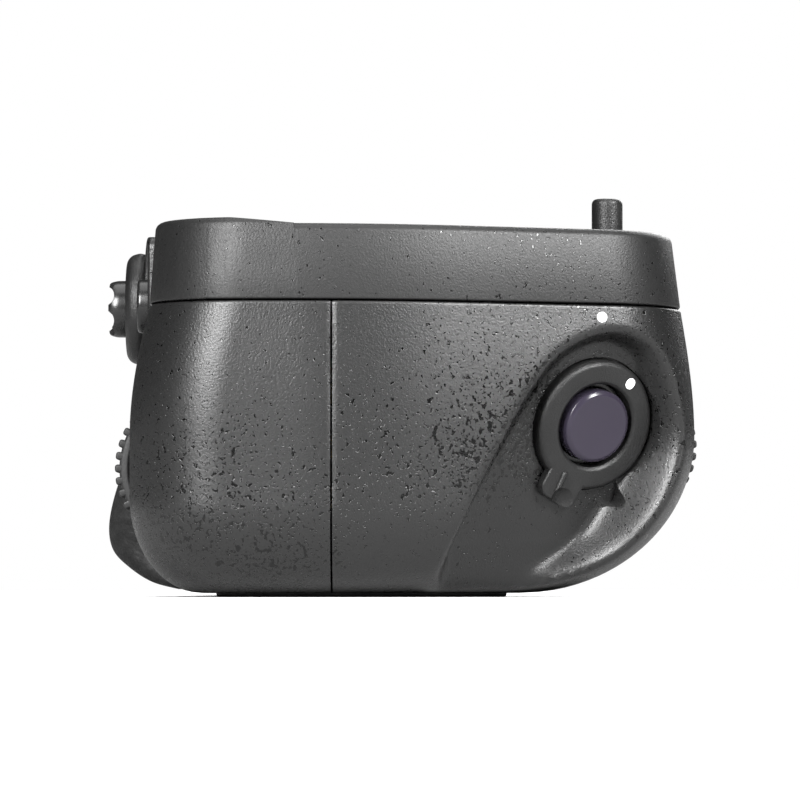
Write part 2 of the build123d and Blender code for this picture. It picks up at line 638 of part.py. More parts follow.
with BuildPart() as clamp_screw:
    add(rod(0, 0, (seat_z + proud, clamp_top_z), clamp_r))
    chamfer(clamp_screw.faces().sort_by(Axis.Z)[-1].edges(), length=0.5)
    add(rod(0, 0, (wheel_z[1], seat_z + proud), neck_r))
    add(rod(0, 0, wheel_z, clamp_r))
    add(rod(0, 0, (chassis_z[0] - 0.8, wheel_z[0]), journal_r))

with BuildPart() as clamp_clip:
    add(rod(0, 0, (chassis_z[0] - 0.7, chassis_z[0] - 0.15), 3.8))
    add(rod(0, 0, through_chassis, journal_r), mode=Mode.SUBTRACT)
    add(block((0, 10), (-1.2, 1.2), through_chassis), mode=Mode.SUBTRACT)

with BuildPart() as locating_pin:
    add(rod(pin_x, pin_y, (seat_z + proud / 2, pin_top_z), pin_r))
    fillet(locating_pin.faces().sort_by(Axis.Z)[-1].edges(), radius=0.7)
    add(rod(pin_x, pin_y, (roof_z - 1.9, seat_z + proud / 2), pin_root_r))

with BuildPart() as contact_block:
    add(block(contact_x, contact_y, (roof_z - 0.5, contact_top_z)))
    chamfer(contact_block.faces().sort_by(Axis.Z)[-1].edges(), length=0.6)
    add(block((contact_x[0] - 1.5, contact_x[1] + 1.5), (contact_y[0] - 1.5, contact_y[1] + 1.5),
              (roof_z - 1.5, roof_z)))
    with Locations(*[(x, y, contact_top_z) for x, y in contacts_at]):
        Cylinder(0.7, 12, mode=Mode.SUBTRACT)

with BuildPart() as contact_pins:
    with Locations(*[(x, y, contact_top_z - 2.8) for x, y in contacts_at]):
        Cylinder(0.65, 6.8)

# ---------------------------------------------------------------- release button
with BuildPart() as lock_ring:
    with BuildSketch(on_facet(0.05 - ring_pocket)):
        Circle(ring_r)
    extrude(amount=ring_top + ring_pocket - 0.05)
    chamfer(lock_ring.faces().sort_by(Axis(facet_centre, facet_normal))[-1].edges(), length=0.5)
    with BuildSketch(on_facet(0.2)):
        with Locations(Location((0, 0), lever_angle)):
            with Locations((lever_r / 2, 0)):
                RectangleRounded(lever_r, 4.6, 1.4)
    extrude(amount=ring_top - 0.2)
    with BuildSketch(on_facet(ring_top - 0.1)):
        with Locations(Location((0, 0), lever_angle)):
            with Locations(((ring_r + lever_r) / 2 - 0.6, -1.5)):
                RectangleRounded(lever_r - ring_r + 1.8, 1.1, 0.5)
    extrude(amount=0.8)
    add(rod_facet((-5, 5), guide_r + running_gap), mode=Mode.SUBTRACT)

with BuildPart() as button_guide:
    add(rod_facet((-8, 0), guide_r))
    add(rod_facet((-wall - 1.2, -wall), guide_r + 2.2))
    add(rod_facet((-7, 5), button_r + running_gap), mode=Mode.SUBTRACT)
    add(rod_facet((-20, 5), plunger_r + running_gap), mode=Mode.SUBTRACT)

with BuildPart() as release_button:
    add(rod_facet((-2, button_top), button_r))
    fillet(release_button.faces().sort_by(Axis(facet_centre, facet_normal))[-1].edges(), radius=0.7)

with BuildPart() as button_plunger:
    add(rod_facet((-8.8, -2), plunger_r))
    add(rod_facet((-8.6, -8.1), plunger_r + 0.9))

with BuildPart() as release_spring:
    add(rod_facet((-7, -3.4), 2.9))
    add(rod_facet((-20, 5), 2.3), mode=Mode.SUBTRACT)

with BuildPart() as release_switch:
    with BuildSketch(on_facet(-11.8)):
        Rectangle(6, 6)
    extrude(amount=1.3)
    add(rod_facet((-10.6, -10.2), 1.5))

with BuildPart() as release_bracket:
    with BuildSketch(on_facet(-12.4)):
        Rectangle(4, 12.8)
    extrude(amount=0.6)
    with BuildSketch(on_facet(-12.4)):
        with Locations((0, 6.0), (0, -6.0)):
            Rectangle(4, 0.8)
    extrude(amount=12.4 - wall - 1.2)


# ---------------------------------------------------------------- command dials
def dial(x, y, z, r, teeth):
    """A toothed wheel on an axle along X."""
    with BuildPart() as wheel:
        with BuildSketch(Plane.YZ.offset(x - dial_width / 2)):
            with Locations((y, z)):
                Circle(r)
                with PolarLocations(r + 0.15, teeth):
                    Circle(0.55, mode=Mode.SUBTRACT)
                Circle(axle_r + running_gap, mode=Mode.SUBTRACT)
        extrude(amount=dial_width)
        for side in (-1, 1):
            with BuildSketch(Plane.YZ.offset(x + side * dial_width / 2)):
                with Locations((y, z)):
                    Circle(r - 2.2)
                    Circle(axle_r + 1.2, mode=Mode.SUBTRACT)
            extrude(amount=-side * 1.0, mode=Mode.SUBTRACT)
    return wheel.part


def dial_bracket(x, y, z, r, towards):
    """Two cheeks from the shell wall that carry the axle, joined behind the dial."""
    cheek = slot_half + 0.1
    back = y - towards * (r + 0.9)
    wall_side = towards * 60
    low, high = sorted((back, wall_side))
    with BuildPart() as bracket:
        for side in (-1, 1):
            inside, outside = sorted((x + side * cheek, x + side * (cheek + cheek_thickness)))
            add(block((inside, outside), (low, high), (z - 4.5, z + 4.5)))
        low, high = sorted((back, back - towards * cheek_thickness))
        width = cheek + cheek_thickness
        add(block((x - width, x + width), (low, high), (z - 4.5, z + 4.5)))
        add(inner_form, mode=Mode.INTERSECT)
        add(rod_x((x - 20, x + 20), y, z, axle_r), mode=Mode.SUBTRACT)
    return bracket.part


def dial_axle(x, y, z):
    """The fixed pin that a dial turns on."""
    half = slot_half + cheek_thickness + 0.7
    return rod_x((x - half, x + half), y, z, axle_r)


def code_disc(x, y, z, r):
    """The slotted disc on the side of a dial that its sensor reads."""
    side = x + dial_width / 2
    with BuildPart() as disc:
        with BuildSketch(Plane.YZ.offset(side)):
            with Locations((y, z)):
                Circle(r - 2.4)
                with PolarLocations(r - 4.0, 24):
                    Circle(0.3, mode=Mode.SUBTRACT)
                Circle(axle_r + running_gap, mode=Mode.SUBTRACT)
        extrude(amount=0.25)
    return disc.part


def dial_sensor(x, y, z, towards):
    """The sensor on the outside of a bracket cheek."""
    face = x + slot_half + 0.1 + cheek_thickness
    low, high = sorted((y - towards * 2.5, y - towards * 6.5))
    return block((face, face + 1.6), (low, high), (z - 3, z + 3))


with BuildPart() as front_dial:
    add(dial(front_dial_x, front_dial_y, front_dial_z, front_dial_r, dial_teeth))

with BuildPart() as front_dial_code:
    add(code_disc(front_dial_x, front_dial_y, front_dial_z, front_dial_r))

with BuildPart() as front_dial_axle:
    add(dial_axle(front_dial_x, front_dial_y, front_dial_z))

with BuildPart() as front_dial_bracket:
    add(dial_bracket(front_dial_x, front_dial_y, front_dial_z, front_dial_r, 1))

with BuildPart() as front_dial_sensor:
    add(dial_sensor(front_dial_x, front_dial_y, front_dial_z, 1))

with BuildPart() as rear_dial:
    add(dial(rear_dial_x, rear_dial_y, rear_dial_z, rear_dial_r, dial_teeth))

with BuildPart() as rear_dial_code:
    add(code_disc(rear_dial_x, rear_dial_y, rear_dial_z, rear_dial_r))

with BuildPart() as rear_dial_axle:
    add(dial_axle(rear_dial_x, rear_dial_y, rear_dial_z))

with BuildPart() as rear_dial_bracket:
    add(dial_bracket(rear_dial_x, rear_dial_y, rear_dial_z, rear_dial_r, -1))

with BuildPart() as rear_dial_sensor:
    add(dial_sensor(rear_dial_x, rear_dial_y, rear_dial_z, -1))

# ---------------------------------------------------------------- electronics
with BuildPart() as main_board:
    add(block(board_x, board_y, board_z))

with BuildPart() as board_chips:
    for x, y, width, depth, height in chips:
        add(block((x - width / 2, x + width / 2), (y - depth / 2, y + depth / 2),
                  (board_z[1], board_z[1] + height)))

with BuildPart() as contact_ribbon:
    add(block((34, 37.5), (-8.15, -7.85), (board_z[1], roof_z - 1.5)))

# ---------------------------------------------------------------- the pieces
front_shell.part.label = "front_shell"
export_step(front_shell.part, "parts/front_shell.step")
rear_shell.part.label = "rear_shell"
export_step(rear_shell.part, "parts/rear_shell.step")
top_frame.part.label = "top_frame"
export_step(top_frame.part, "parts/top_frame.step")
base_plate.part.label = "base_plate"
export_step(base_plate.part, "parts/base_plate.step")
tripod_socket.part.label = "tripod_socket"
export_step(tripod_socket.part, "parts/tripod_socket.step")
base_screws.part.label = "base_screws"
export_step(base_screws.part, "parts/base_screws.step")
frame_screws.part.label = "frame_screws"
export_step(frame_screws.part, "parts/frame_screws.step")
chassis.part.label = "chassis"
export_step(chassis.part, "parts/chassis.step")
rear_control_panel.part.label = "rear_control_panel"
export_step(rear_control_panel.part, "parts/rear_control_panel.step")
selector_bezel.part.label = "selector_bezel"
export_step(selector_bezel.part, "parts/selector_bezel.step")
selector_cage.part.label = "selector_cage"
export_step(selector_cage.part, "parts/selector_cage.step")
selector_switch.part.label = "selector_switch"
export_step(selector_switch.part, "parts/selector_switch.step")
selector_gimbal.part.label = "selector_gimbal"
export_step(selector_gimbal.part, "parts/selector_gimbal.step")
selector_pad.part.label = "selector_pad"
export_step(selector_pad.part, "parts/selector_pad.step")
selector_button.part.label = "selector_button"
export_step(selector_button.part, "parts/selector_button.step")
af_button.part.label = "af_button"
export_step(af_button.part, "parts/af_button.step")
af_housing.part.label = "af_housing"
export_step(af_housing.part, "parts/af_housing.step")
af_switch.part.label = "af_switch"
export_step(af_switch.part, "parts/af_switch.step")
thumb_rest.part.label = "thumb_rest"
export_step(thumb_rest.part, "parts/thumb_rest.step")
front_grip_pad.part.label = "front_grip_pad"
export_step(front_grip_pad.part, "parts/front_grip_pad.step")
chamber_liner.part.label = "chamber_liner"
export_step(chamber_liner.part, "parts/chamber_liner.step")
chamber_contact_block.part.label = "chamber_contact_block"
export_step(chamber_contact_block.part, "parts/chamber_contact_block.step")
chamber_contacts.part.label = "chamber_contacts"
export_step(chamber_contacts.part, "parts/chamber_contacts.step")
battery_tray.part.label = "battery_tray"
export_step(battery_tray.part, "parts/battery_tray.step")
tray_terminals.part.label = "tray_terminals"
export_step(tray_terminals.part, "parts/tray_terminals.step")
tray_end_cap.part.label = "tray_end_cap"
export_step(tray_end_cap.part, "parts/tray_end_cap.step")
latch_knob.part.label = "latch_knob"
export_step(latch_knob.part, "parts/latch_knob.step")
latch_arm.part.label = "latch_arm"
export_step(latch_arm.part, "parts/latch_arm.step")
battery_pack.part.label = "battery_pack"
export_step(battery_pack.part, "parts/battery_pack.step")
screw_bush.part.label = "screw_bush"
export_step(screw_bush.part, "parts/screw_bush.step")
clamp_wheel.part.label = "clamp_wheel"
export_step(clamp_wheel.part, "parts/clamp_wheel.step")
clamp_screw.part.label = "clamp_screw"
export_step(clamp_screw.part, "parts/clamp_screw.step")
clamp_clip.part.label = "clamp_clip"
export_step(clamp_clip.part, "parts/clamp_clip.step")
locating_pin.part.label = "locating_pin"
export_step(locating_pin.part, "parts/locating_pin.step")
contact_block.part.label = "contact_block"
export_step(contact_block.part, "parts/contact_block.step")
contact_pins.part.label = "contact_pins"
export_step(contact_pins.part, "parts/contact_pins.step")
lock_ring.part.label = "lock_ring"
export_step(lock_ring.part, "parts/lock_ring.step")
button_guide.part.label = "button_guide"
export_step(button_guide.part, "parts/button_guide.step")
release_button.part.label = "release_button"
export_step(release_button.part, "parts/release_button.step")
button_plunger.part.label = "button_plunger"
export_step(button_plunger.part, "parts/button_plunger.step")
release_spring.part.label = "release_spring"
export_step(release_spring.part, "parts/release_spring.step")
release_switch.part.label = "release_switch"
export_step(release_switch.part, "parts/release_switch.step")
release_bracket.part.label = "release_bracket"
export_step(release_bracket.part, "parts/release_bracket.step")
front_dial.part.label = "front_dial"
export_step(front_dial.part, "parts/front_dial.step")
front_dial_code.part.label = "front_dial_code"
export_step(front_dial_code.part, "parts/front_dial_code.step")
front_dial_axle.part.label = "front_dial_axle"
export_step(front_dial_axle.part, "parts/front_dial_axle.step")
front_dial_bracket.part.label = "front_dial_bracket"
export_step(front_dial_bracket.part, "parts/front_dial_bracket.step")
front_dial_sensor.part.label = "front_dial_sensor"
export_step(front_dial_sensor.part, "parts/front_dial_sensor.step")
rear_dial.part.label = "rear_dial"
export_step(rear_dial.part, "parts/rear_dial.step")
rear_dial_code.part.label = "rear_dial_code"
export_step(rear_dial_code.part, "parts/rear_dial_code.step")
rear_dial_axle.part.label = "rear_dial_axle"
export_step(rear_dial_axle.part, "parts/rear_dial_axle.step")
rear_dial_bracket.part.label = "rear_dial_bracket"
export_step(rear_dial_bracket.part, "parts/rear_dial_bracket.step")
rear_dial_sensor.part.label = "rear_dial_sensor"
export_step(rear_dial_sensor.part, "parts/rear_dial_sensor.step")
main_board.part.label = "main_board"
export_step(main_board.part, "parts/main_board.step")
board_chips.part.label = "board_chips"
export_step(board_chips.part, "parts/board_chips.step")
contact_ribbon.part.label = "contact_ribbon"
export_step(contact_ribbon.part, "parts/contact_ribbon.step")
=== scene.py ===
import bmesh
import bpy
import math
import numpy as np
from mathutils import Matrix, Vector


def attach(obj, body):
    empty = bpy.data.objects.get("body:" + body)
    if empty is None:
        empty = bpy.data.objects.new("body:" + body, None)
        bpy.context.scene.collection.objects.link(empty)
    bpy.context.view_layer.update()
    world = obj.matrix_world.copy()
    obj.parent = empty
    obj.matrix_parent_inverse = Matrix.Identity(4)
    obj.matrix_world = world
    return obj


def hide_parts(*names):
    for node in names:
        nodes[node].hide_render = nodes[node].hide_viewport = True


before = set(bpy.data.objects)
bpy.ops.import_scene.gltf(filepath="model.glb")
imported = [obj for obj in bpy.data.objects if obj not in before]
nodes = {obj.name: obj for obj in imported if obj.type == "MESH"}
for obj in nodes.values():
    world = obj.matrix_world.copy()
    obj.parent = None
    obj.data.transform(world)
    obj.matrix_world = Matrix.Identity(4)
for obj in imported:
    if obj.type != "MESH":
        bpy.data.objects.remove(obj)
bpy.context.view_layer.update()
scene = bpy.context.scene
print("frame loaded,", len(nodes), "nodes")

mm = 0.001

# the form of the body, in millimetres, as the case is drawn in plan at each height
body = {
    "rimZ": 0.5, "bellyZ": 20.0, "jointZ": 36.3, "seatZ": 45.9, "wall": 2.0, "frameGap": 0.2,
    "rightX": 80.0, "leftX": 68.0, "rearY": 31.2, "gripY": 35.6, "flatY": 14.5,
    "kneeY": -3.0, "slopeX": 14.0, "gripRootX": 30.0, "gripFootX": 22.0,
    "seamY": -8.4, "seamGap": 0.25, "baseEdge": 1.5,
    "rearTuck": (9.0, 12.0), "gripTuck": (22.0, 20.0), "endTuck": (9.0, 11.0),
    "leftTuck": (4.0, 5.0), "flatTuck": (4.0, 5.0),
}
release = {
    "centre": Vector((64.2, 23.9, 21.7)), "normal": Vector((0.82, 0.506, -0.269)).normalized(),
    "guideR": 5.3, "pocket": 0.6, "ease": 2.2,
    # the ridge round the hollow, seen along X, and how wide its slope is at each point
    "ridge": [(4.9, 0.6, 1.2), (5.8, 4.7, 2.4), (8.6, 10.8, 3.2), (12.2, 18.2, 3.2), (16.3, 25.6, 2.6),
              (20.4, 30.6, 2.3), (26.6, 33.1, 2.3), (32.4, 30.8, 2.4), (35.3, 24.0, 2.4), (35.4, 17.0, 2.4),
              (31.6, 9.2, 2.0), (25.2, 3.8, 1.4), (14.5, 0.6, 1.0)],
}


# small helpers, which all take millimetres
def makeObject(name, verts, faces, smoothAngle=32.0, outward=False):
    mesh = bpy.data.meshes.new(name)
    mesh.from_pydata([tuple(v) for v in verts], [], faces)
    if outward:
        form = bmesh.new()
        form.from_mesh(mesh)
        bmesh.ops.recalc_face_normals(form, faces=form.faces)
        form.to_mesh(mesh)
        form.free()
    mesh.update()
    obj = bpy.data.objects.new(name, mesh)
    scene.collection.objects.link(obj)
    shadeByAngle(obj, smoothAngle)
    return obj


def shadeByAngle(obj, angle):
    bpy.context.view_layer.objects.active = obj
    for other in bpy.context.selected_objects:
        other.select_set(False)
    obj.select_set(True)
    bpy.ops.object.shade_smooth_by_angle(angle=math.radians(angle))
    obj.select_set(False)


def cut(target, tool, operation="DIFFERENCE"):
    modifier = target.modifiers.new("cut", "BOOLEAN")
    modifier.operation = operation
    modifier.solver = "MANIFOLD"
    modifier.object = tool
    bpy.context.view_layer.objects.active = target
    bpy.ops.object.modifier_apply(modifier=modifier.name)


def discard(*objs):
    for obj in objs:
        mesh = obj.data
        bpy.data.objects.remove(obj)
        bpy.data.meshes.remove(mesh)


def cutAll(target, tools, operation="DIFFERENCE"):
    for tool in tools:
        cut(target, tool, operation)
    discard(*tools)


def finishPiece(obj, bodyName, slotName, *cadNodes, smoothAngle=32.0):
    shadeByAngle(obj, smoothAngle)
    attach(obj, bodyName)
    if cadNodes:
        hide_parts(*cadNodes)
    return obj


def boxTool(x, y, z):
    corners = [(a * mm, b * mm, c * mm) for a in x for b in y for c in z]
    faces = [(0, 1, 3, 2), (4, 6, 7, 5), (0, 4, 5, 1), (2, 3, 7, 6), (0, 2, 6, 4), (1, 5, 7, 3)]
    return makeObject("tool", corners, faces)


def softened(points, closed, steps):
    # a profile with each corner rounded by its third number
    result = []
    count = len(points)
    for i, point in enumerate(points):
        p = np.array(point[:2], float)
        radius = point[2] if len(point) > 2 else 0.0
        if radius <= 0 or (not closed and i in (0, count - 1)):
            result.append(tuple(p))
            continue
        a = np.array(points[i - 1][:2], float) - p
        b = np.array(points[(i + 1) % count][:2], float) - p
        reachA = min(radius, 0.49 * np.linalg.norm(a))
        reachB = min(radius, 0.49 * np.linalg.norm(b))
        a, b = a / np.linalg.norm(a) * reachA, b / np.linalg.norm(b) * reachB
        for t in np.linspace(0, 1, steps):
            result.append(tuple(p + a * (1 - t) ** 2 + b * t ** 2))
    return result


def turned(name, centre, axis, profile, closed=False, count=96, smoothAngle=32.0, steps=6):
    # a profile of (radius, depth, rounding) turned round an axis; an open one starts and ends on the axis
    axis = Vector(axis).normalized()
    side = axis.orthogonal().normalized()
    other = axis.cross(side)
    verts, rows = [], []
    for radius, depth in softened(profile, closed, steps):
        middle = Vector(centre) + axis * depth
        if radius < 1e-6:
            rows.append([len(verts)] * count)
            verts.append(middle * mm)
            continue
        rows.append(list(range(len(verts), len(verts) + count)))
        for i in range(count):
            turn = 2 * math.pi * i / count
            verts.append((middle + (side * math.cos(turn) + other * math.sin(turn)) * radius) * mm)
    pairs = list(zip(rows, rows[1:])) + ([(rows[-1], rows[0])] if closed else [])
    faces = []
    for low, high in pairs:
        for i in range(count):
            k = (i + 1) % count
            face = []
            for v in (low[i], low[k], high[k], high[i]):
                if v not in face:
                    face.append(v)
            if len(face) > 2:
                faces.append(tuple(face))
    return makeObject(name, verts, faces, smoothAngle, outward=True)


def rodTool(centre, direction, radius, low, high, count=96):
    return turned("tool", centre, direction, [(0, low), (radius, low), (radius, high), (0, high)], count=count)


def axesAt(origin, xAxis, zAxis):
    # a place in the model whose local Z is zAxis
    z = Vector(zAxis).normalized()
    x = (Vector(xAxis) - z * Vector(xAxis).dot(z)).normalized()
    y = z.cross(x)
    place = Matrix.Identity(4)
    for i, column in enumerate((x, y, z, Vector(origin))):
        for j in range(3):
            place[j][i] = column[j]
    return place


def stackFaces(levels, n):
    # the end caps and the sides of a solid made of equal loops
    faces = [tuple(reversed(range(n))), tuple(range((levels - 1) * n, levels * n))]
    for j in range(levels - 1):
        faces += [(j * n + i, j * n + (i + 1) % n, (j + 1) * n + (i + 1) % n, (j + 1) * n + i) for i in range(n)]
    return faces


def slab(name, place, half, corner, depth, edge, footEdge=0.0, arcSteps=8, smoothAngle=32.0):
    # a plate with rounded corners, whose top and foot edges are rounded too
    turns = [math.radians(a) for a in (0, 18, 36, 54, 72, 90)]
    if footEdge > 0:
        rows = sorted((depth[0] + footEdge * (1 - math.sin(t)), footEdge * (1 - math.cos(t))) for t in turns)
    else:
        rows = [(depth[0], 0.0)]
    rows += [(depth[1] - edge * (1 - math.sin(t)), edge * (1 - math.cos(t))) for t in turns]
    verts = []
    for level, inset in rows:
        for cx, cy, start in ((1, 1, 0), (-1, 1, 90), (-1, -1, 180), (1, -1, 270)):
            for k in range(arcSteps + 1):
                turn = math.radians(start + 90 * k / arcSteps)
                r = max(corner - inset, 0.02)
                x = cx * (half[0] - corner) + r * math.cos(turn)
                y = cy * (half[1] - corner) + r * math.sin(turn)
                verts.append((place @ Vector((x, y, level))) * mm)
    return makeObject(name, verts, stackFaces(len(rows), 4 * (arcSteps + 1)), smoothAngle, outward=True)


def alongX(origin):
    return axesAt(origin, (0, 1, 0), (1, 0, 0))


# the body's plan outline
def belly(z):
    if z >= body["jointZ"]:
        return 0.0
    return math.sin(math.pi / 2 * min(1.0, (body["jointZ"] - z) / (body["jointZ"] - body["bellyZ"])))


def tuck(z, reachHeight):
    reach, height = reachHeight
    rise = max(0.0, (z - body["rimZ"]) / height)
    return 0.0 if rise >= 1 else reach * (1 - math.sqrt(1 - (1 - rise) ** 2))


def outlineCorners(z, skin):
    up = max(0.0, z - body["jointZ"])
    out = belly(z)
    rear = -(body["rearY"] + 2.4 * out - 0.07 * up - tuck(z, body["rearTuck"]) - skin)
    grip = body["gripY"] + 1.7 * out - 0.12 * up - tuck(z, body["gripTuck"]) - skin
    flat = body["flatY"] - 0.05 * up - tuck(z, body["flatTuck"]) - skin
    right = body["rightX"] + 0.8 * out - 0.12 * up - tuck(z, body["endTuck"]) - skin
    left = -(body["leftX"] - 0.05 * up - tuck(z, body["leftTuck"]) - skin)
    shrink = tuck(z, body["endTuck"]) / body["endTuck"][0]
    corners = [(left, rear), (right, rear), (right, body["kneeY"]), (right - body["slopeX"], grip),
               (body["gripRootX"], grip), (body["gripFootX"], flat), (left, flat)]
    radii = [6 - skin, 12 - 5.5 * shrink - skin, 60 - 25 * shrink, 14 - skin,
             12 - 4 * shrink - skin, 10 - 4 * shrink, 5 - skin]
    return corners, radii


def outlineRing(z, skin, arcSteps, runSteps):
    # points round the outline: each corner as an arc, each run divided evenly
    corners, radii = outlineCorners(z, skin)
    count = len(corners)
    arcs = []
    for i in range(count):
        p = np.array(corners[i])
        a = np.array(corners[i - 1]) - p
        b = np.array(corners[(i + 1) % count]) - p
        a /= np.linalg.norm(a)
        b /= np.linalg.norm(b)
        half = math.acos(max(-1.0, min(1.0, float(a @ b)))) / 2
        middle = (a + b) / np.linalg.norm(a + b)
        centre = p + middle * radii[i] / math.sin(half)
        reach = radii[i] / math.tan(half)
        start, end = p + a * reach, p + b * reach
        angleA = math.atan2(*(start - centre)[::-1])
        turn = (math.atan2(*(end - centre)[::-1]) - angleA + math.pi) % (2 * math.pi) - math.pi
        arcs.append([centre + radii[i] * np.array((math.cos(angleA + turn * k / arcSteps[i]),
                                                   math.sin(angleA + turn * k / arcSteps[i])))
                     for k in range(arcSteps[i] + 1)])
    ring = []
    for i in range(count):
        ring += arcs[i]
        after = arcs[(i + 1) % count][0]
        last = arcs[i][-1]
        ring += [last + (after - last) * k / runSteps[i] for k in range(1, runSteps[i])]
    return np.array(ring)


def levelRings(levels, arcSteps, runSteps, lift=0.0):
    # (height, skin) pairs as one array of points, row by row
    rows = []
    for z, skin in levels:
        ring = outlineRing(z, skin, arcSteps, runSteps)
        rows.append(np.column_stack((ring, np.full(len(ring), z + lift))))
    return np.array(rows)


def stackRows(name, rows, smoothAngle=32.0):
    # a closed solid from rows of points stacked upwards
    return makeObject(name, rows.reshape(-1, 3) * mm, stackFaces(*rows.shape[:2]), smoothAngle)


# the hollow round the release button
def curveBetween(p0, p1, p2, p3, steps):
    # a smooth curve from p1 to p2, led by the points before and after them
    return [0.5 * (2 * p1 + (p2 - p0) * t + (2 * p0 - 5 * p1 + 4 * p2 - p3) * t * t
                   + (3 * p1 - p0 - 3 * p2 + p3) * t ** 3) for t in np.linspace(0, 1, steps, endpoint=False)]


def smoothLoop(points, steps=24):
    points = np.array(points)
    n = len(points)
    fine = []
    for i in range(n):
        fine += curveBetween(*(points[(i + k) % n] for k in (-1, 0, 1, 2)), steps)
    return np.array(fine)


def ridgeShare(yz):
    # 0 outside the ridge, 1 on the floor of the hollow, rising over the ridge's slope
    ridge = smoothLoop(release["ridge"])
    a, b = ridge[:, :2], np.roll(ridge[:, :2], -1, axis=0)
    ab = b - a
    share = np.zeros(len(yz))
    for start in range(0, len(yz), 3000):
        p = yz[start:start + 3000]
        t = np.clip(np.einsum("pij,ij->pi", p[:, None] - a[None], ab) / (ab ** 2).sum(1), 0, 1)
        gap = np.linalg.norm(p[:, None] - (a[None] + t[..., None] * ab[None]), axis=2)
        k = gap.argmin(1)
        distance = gap[np.arange(len(p)), k]
        crossing = (a[None, :, 1] > p[:, None, 1]) != (b[None, :, 1] > p[:, None, 1])
        reach = ab[None, :, 0] * (p[:, None, 1] - a[None, :, 1]) / np.where(ab[None, :, 1] == 0, 1e-9, ab[None, :, 1])
        inside = (crossing & (p[:, None, 0] < reach + a[None, :, 0])).sum(1) % 2 == 1
        s = np.clip(np.where(inside, distance, -distance) / ridge[k, 2] + 0.08, 0, 1)
        share[start:start + 3000] = s * s * (3 - 2 * s)
    return share


def pressHollow(rows):
    # every point inside the ridge moves inwards to the facet, then the step is eased a little
    centre, normal = np.array(release["centre"]), np.array(release["normal"])
    levels, n = rows.shape[:2]
    flat = rows.reshape(-1, 3)
    near = np.where((flat[:, 0] > 45) & (flat[:, 1] > 0) & (flat[:, 2] < body["jointZ"] - 0.4))[0]
    above = (flat[near] - centre) @ normal
    # the floor meets the outer face in a soft line where the hollow runs out
    ease = release["ease"]
    depth = np.where(above >= ease, above, np.where(above <= -ease, 0.0, (above + ease) ** 2 / (4 * ease)))
    push = np.zeros(len(flat))
    push[near] = depth * ridgeShare(flat[near][:, 1:3])
    push = push.reshape(levels, n)
    for _ in range(4):
        push = (np.roll(push, 1, 1) + 2 * push + np.roll(push, -1, 1)) / 4
        inner = (push[:-2] + 2 * push[1:-1] + push[2:]) / 4
        push[1:-1] = inner
    return rows - push[..., None] * normal


def insetAt(z, top, radius):
    # how far a rounded edge has turned in at height z
    h = max(0.0, radius - (top - z))
    return radius - math.sqrt(max(0.0, radius ** 2 - h ** 2))


case = {
    "arcSteps": [10, 30, 56, 46, 14, 12, 8], "runSteps": [60, 44, 44, 40, 14, 40, 20],
    "roomSteps": [6, 12, 12, 12, 6, 6, 6], "edge": 0.3, "step": 0.36,
    "window": ((36.35, 66.15), (-40, -28), (25.85, 45.25)),
    "trayHole": ((-25.95, 7.95), (6.85, 33.15)),
    "frontDial": (46.5, 29.0, 19.2), "rearDial": (62.0, -25.2, 16.1), "dialSlot": (3.2, 0.5),
}
topZ = body["jointZ"]
low = [body["rimZ"] + h for h in (0.0, 0.12, 0.35, 0.7, 1.1, 1.6, 2.1, 2.6, 3.1, 3.6, 4.1, 4.6)]
caseHeights = low + list(np.arange(5.5, topZ - 1.15, case["step"]))
caseHeights += [topZ - h for h in (1.0, 0.7, 0.45, 0.3, 0.18, 0.08, 0.0)]
caseRows = levelRings([(z, insetAt(z, topZ, case["edge"])) for z in caseHeights], case["arcSteps"], case["runSteps"])
for row in caseRows:
    # the two shells roll in a little towards the seam between them
    gap = np.abs(row[:, 1] - body["seamY"])
    row[:, 0] -= np.sign(row[:, 0]) * np.clip(1 - (gap - body["seamGap"] / 2) / 0.5, 0, 1) ** 2 * 0.16
wholeCase = stackRows("wholeCase", pressHollow(caseRows))

# the room inside, which stays a wall's thickness behind the hollow too
roomHeights = [h for h in caseHeights[::3] if h < topZ - 0.5] + [topZ]
roomRows = levelRings([(z, body["wall"]) for z in roomHeights], case["roomSteps"], case["roomSteps"], body["wall"])
roomRows = np.concatenate((roomRows, roomRows[-1:] + np.array((0, 0, 3.0))))
over = (roomRows - np.array(release["centre"])) @ np.array(release["normal"]) + body["wall"]
over = np.where((roomRows[..., 0] > 40) & (roomRows[..., 1] > 1) & (over > 0), over, 0)
room = stackRows("room", roomRows - over[..., None] * np.array(release["normal"]))
baseRing = outlineRing(body["rimZ"], body["baseEdge"], case["arcSteps"], case["runSteps"])
baseRows = np.array([np.column_stack((baseRing, np.full(len(baseRing), z))) for z in (-2.0, 4.0)])
baseHole = stackRows("baseHole", baseRows)
trayY, trayZ = case["trayHole"]
trayCentre = ((trayY[0] + trayY[1]) / 2, (trayZ[0] + trayZ[1]) / 2)
trayHalf = ((trayY[1] - trayY[0]) / 2, (trayZ[1] - trayZ[0]) / 2)
trayHole = slab("tool", alongX((0, *trayCentre)), trayHalf, 4.0, (-75, -63), 0.0)
cutAll(wholeCase, [room, baseHole, trayHole])

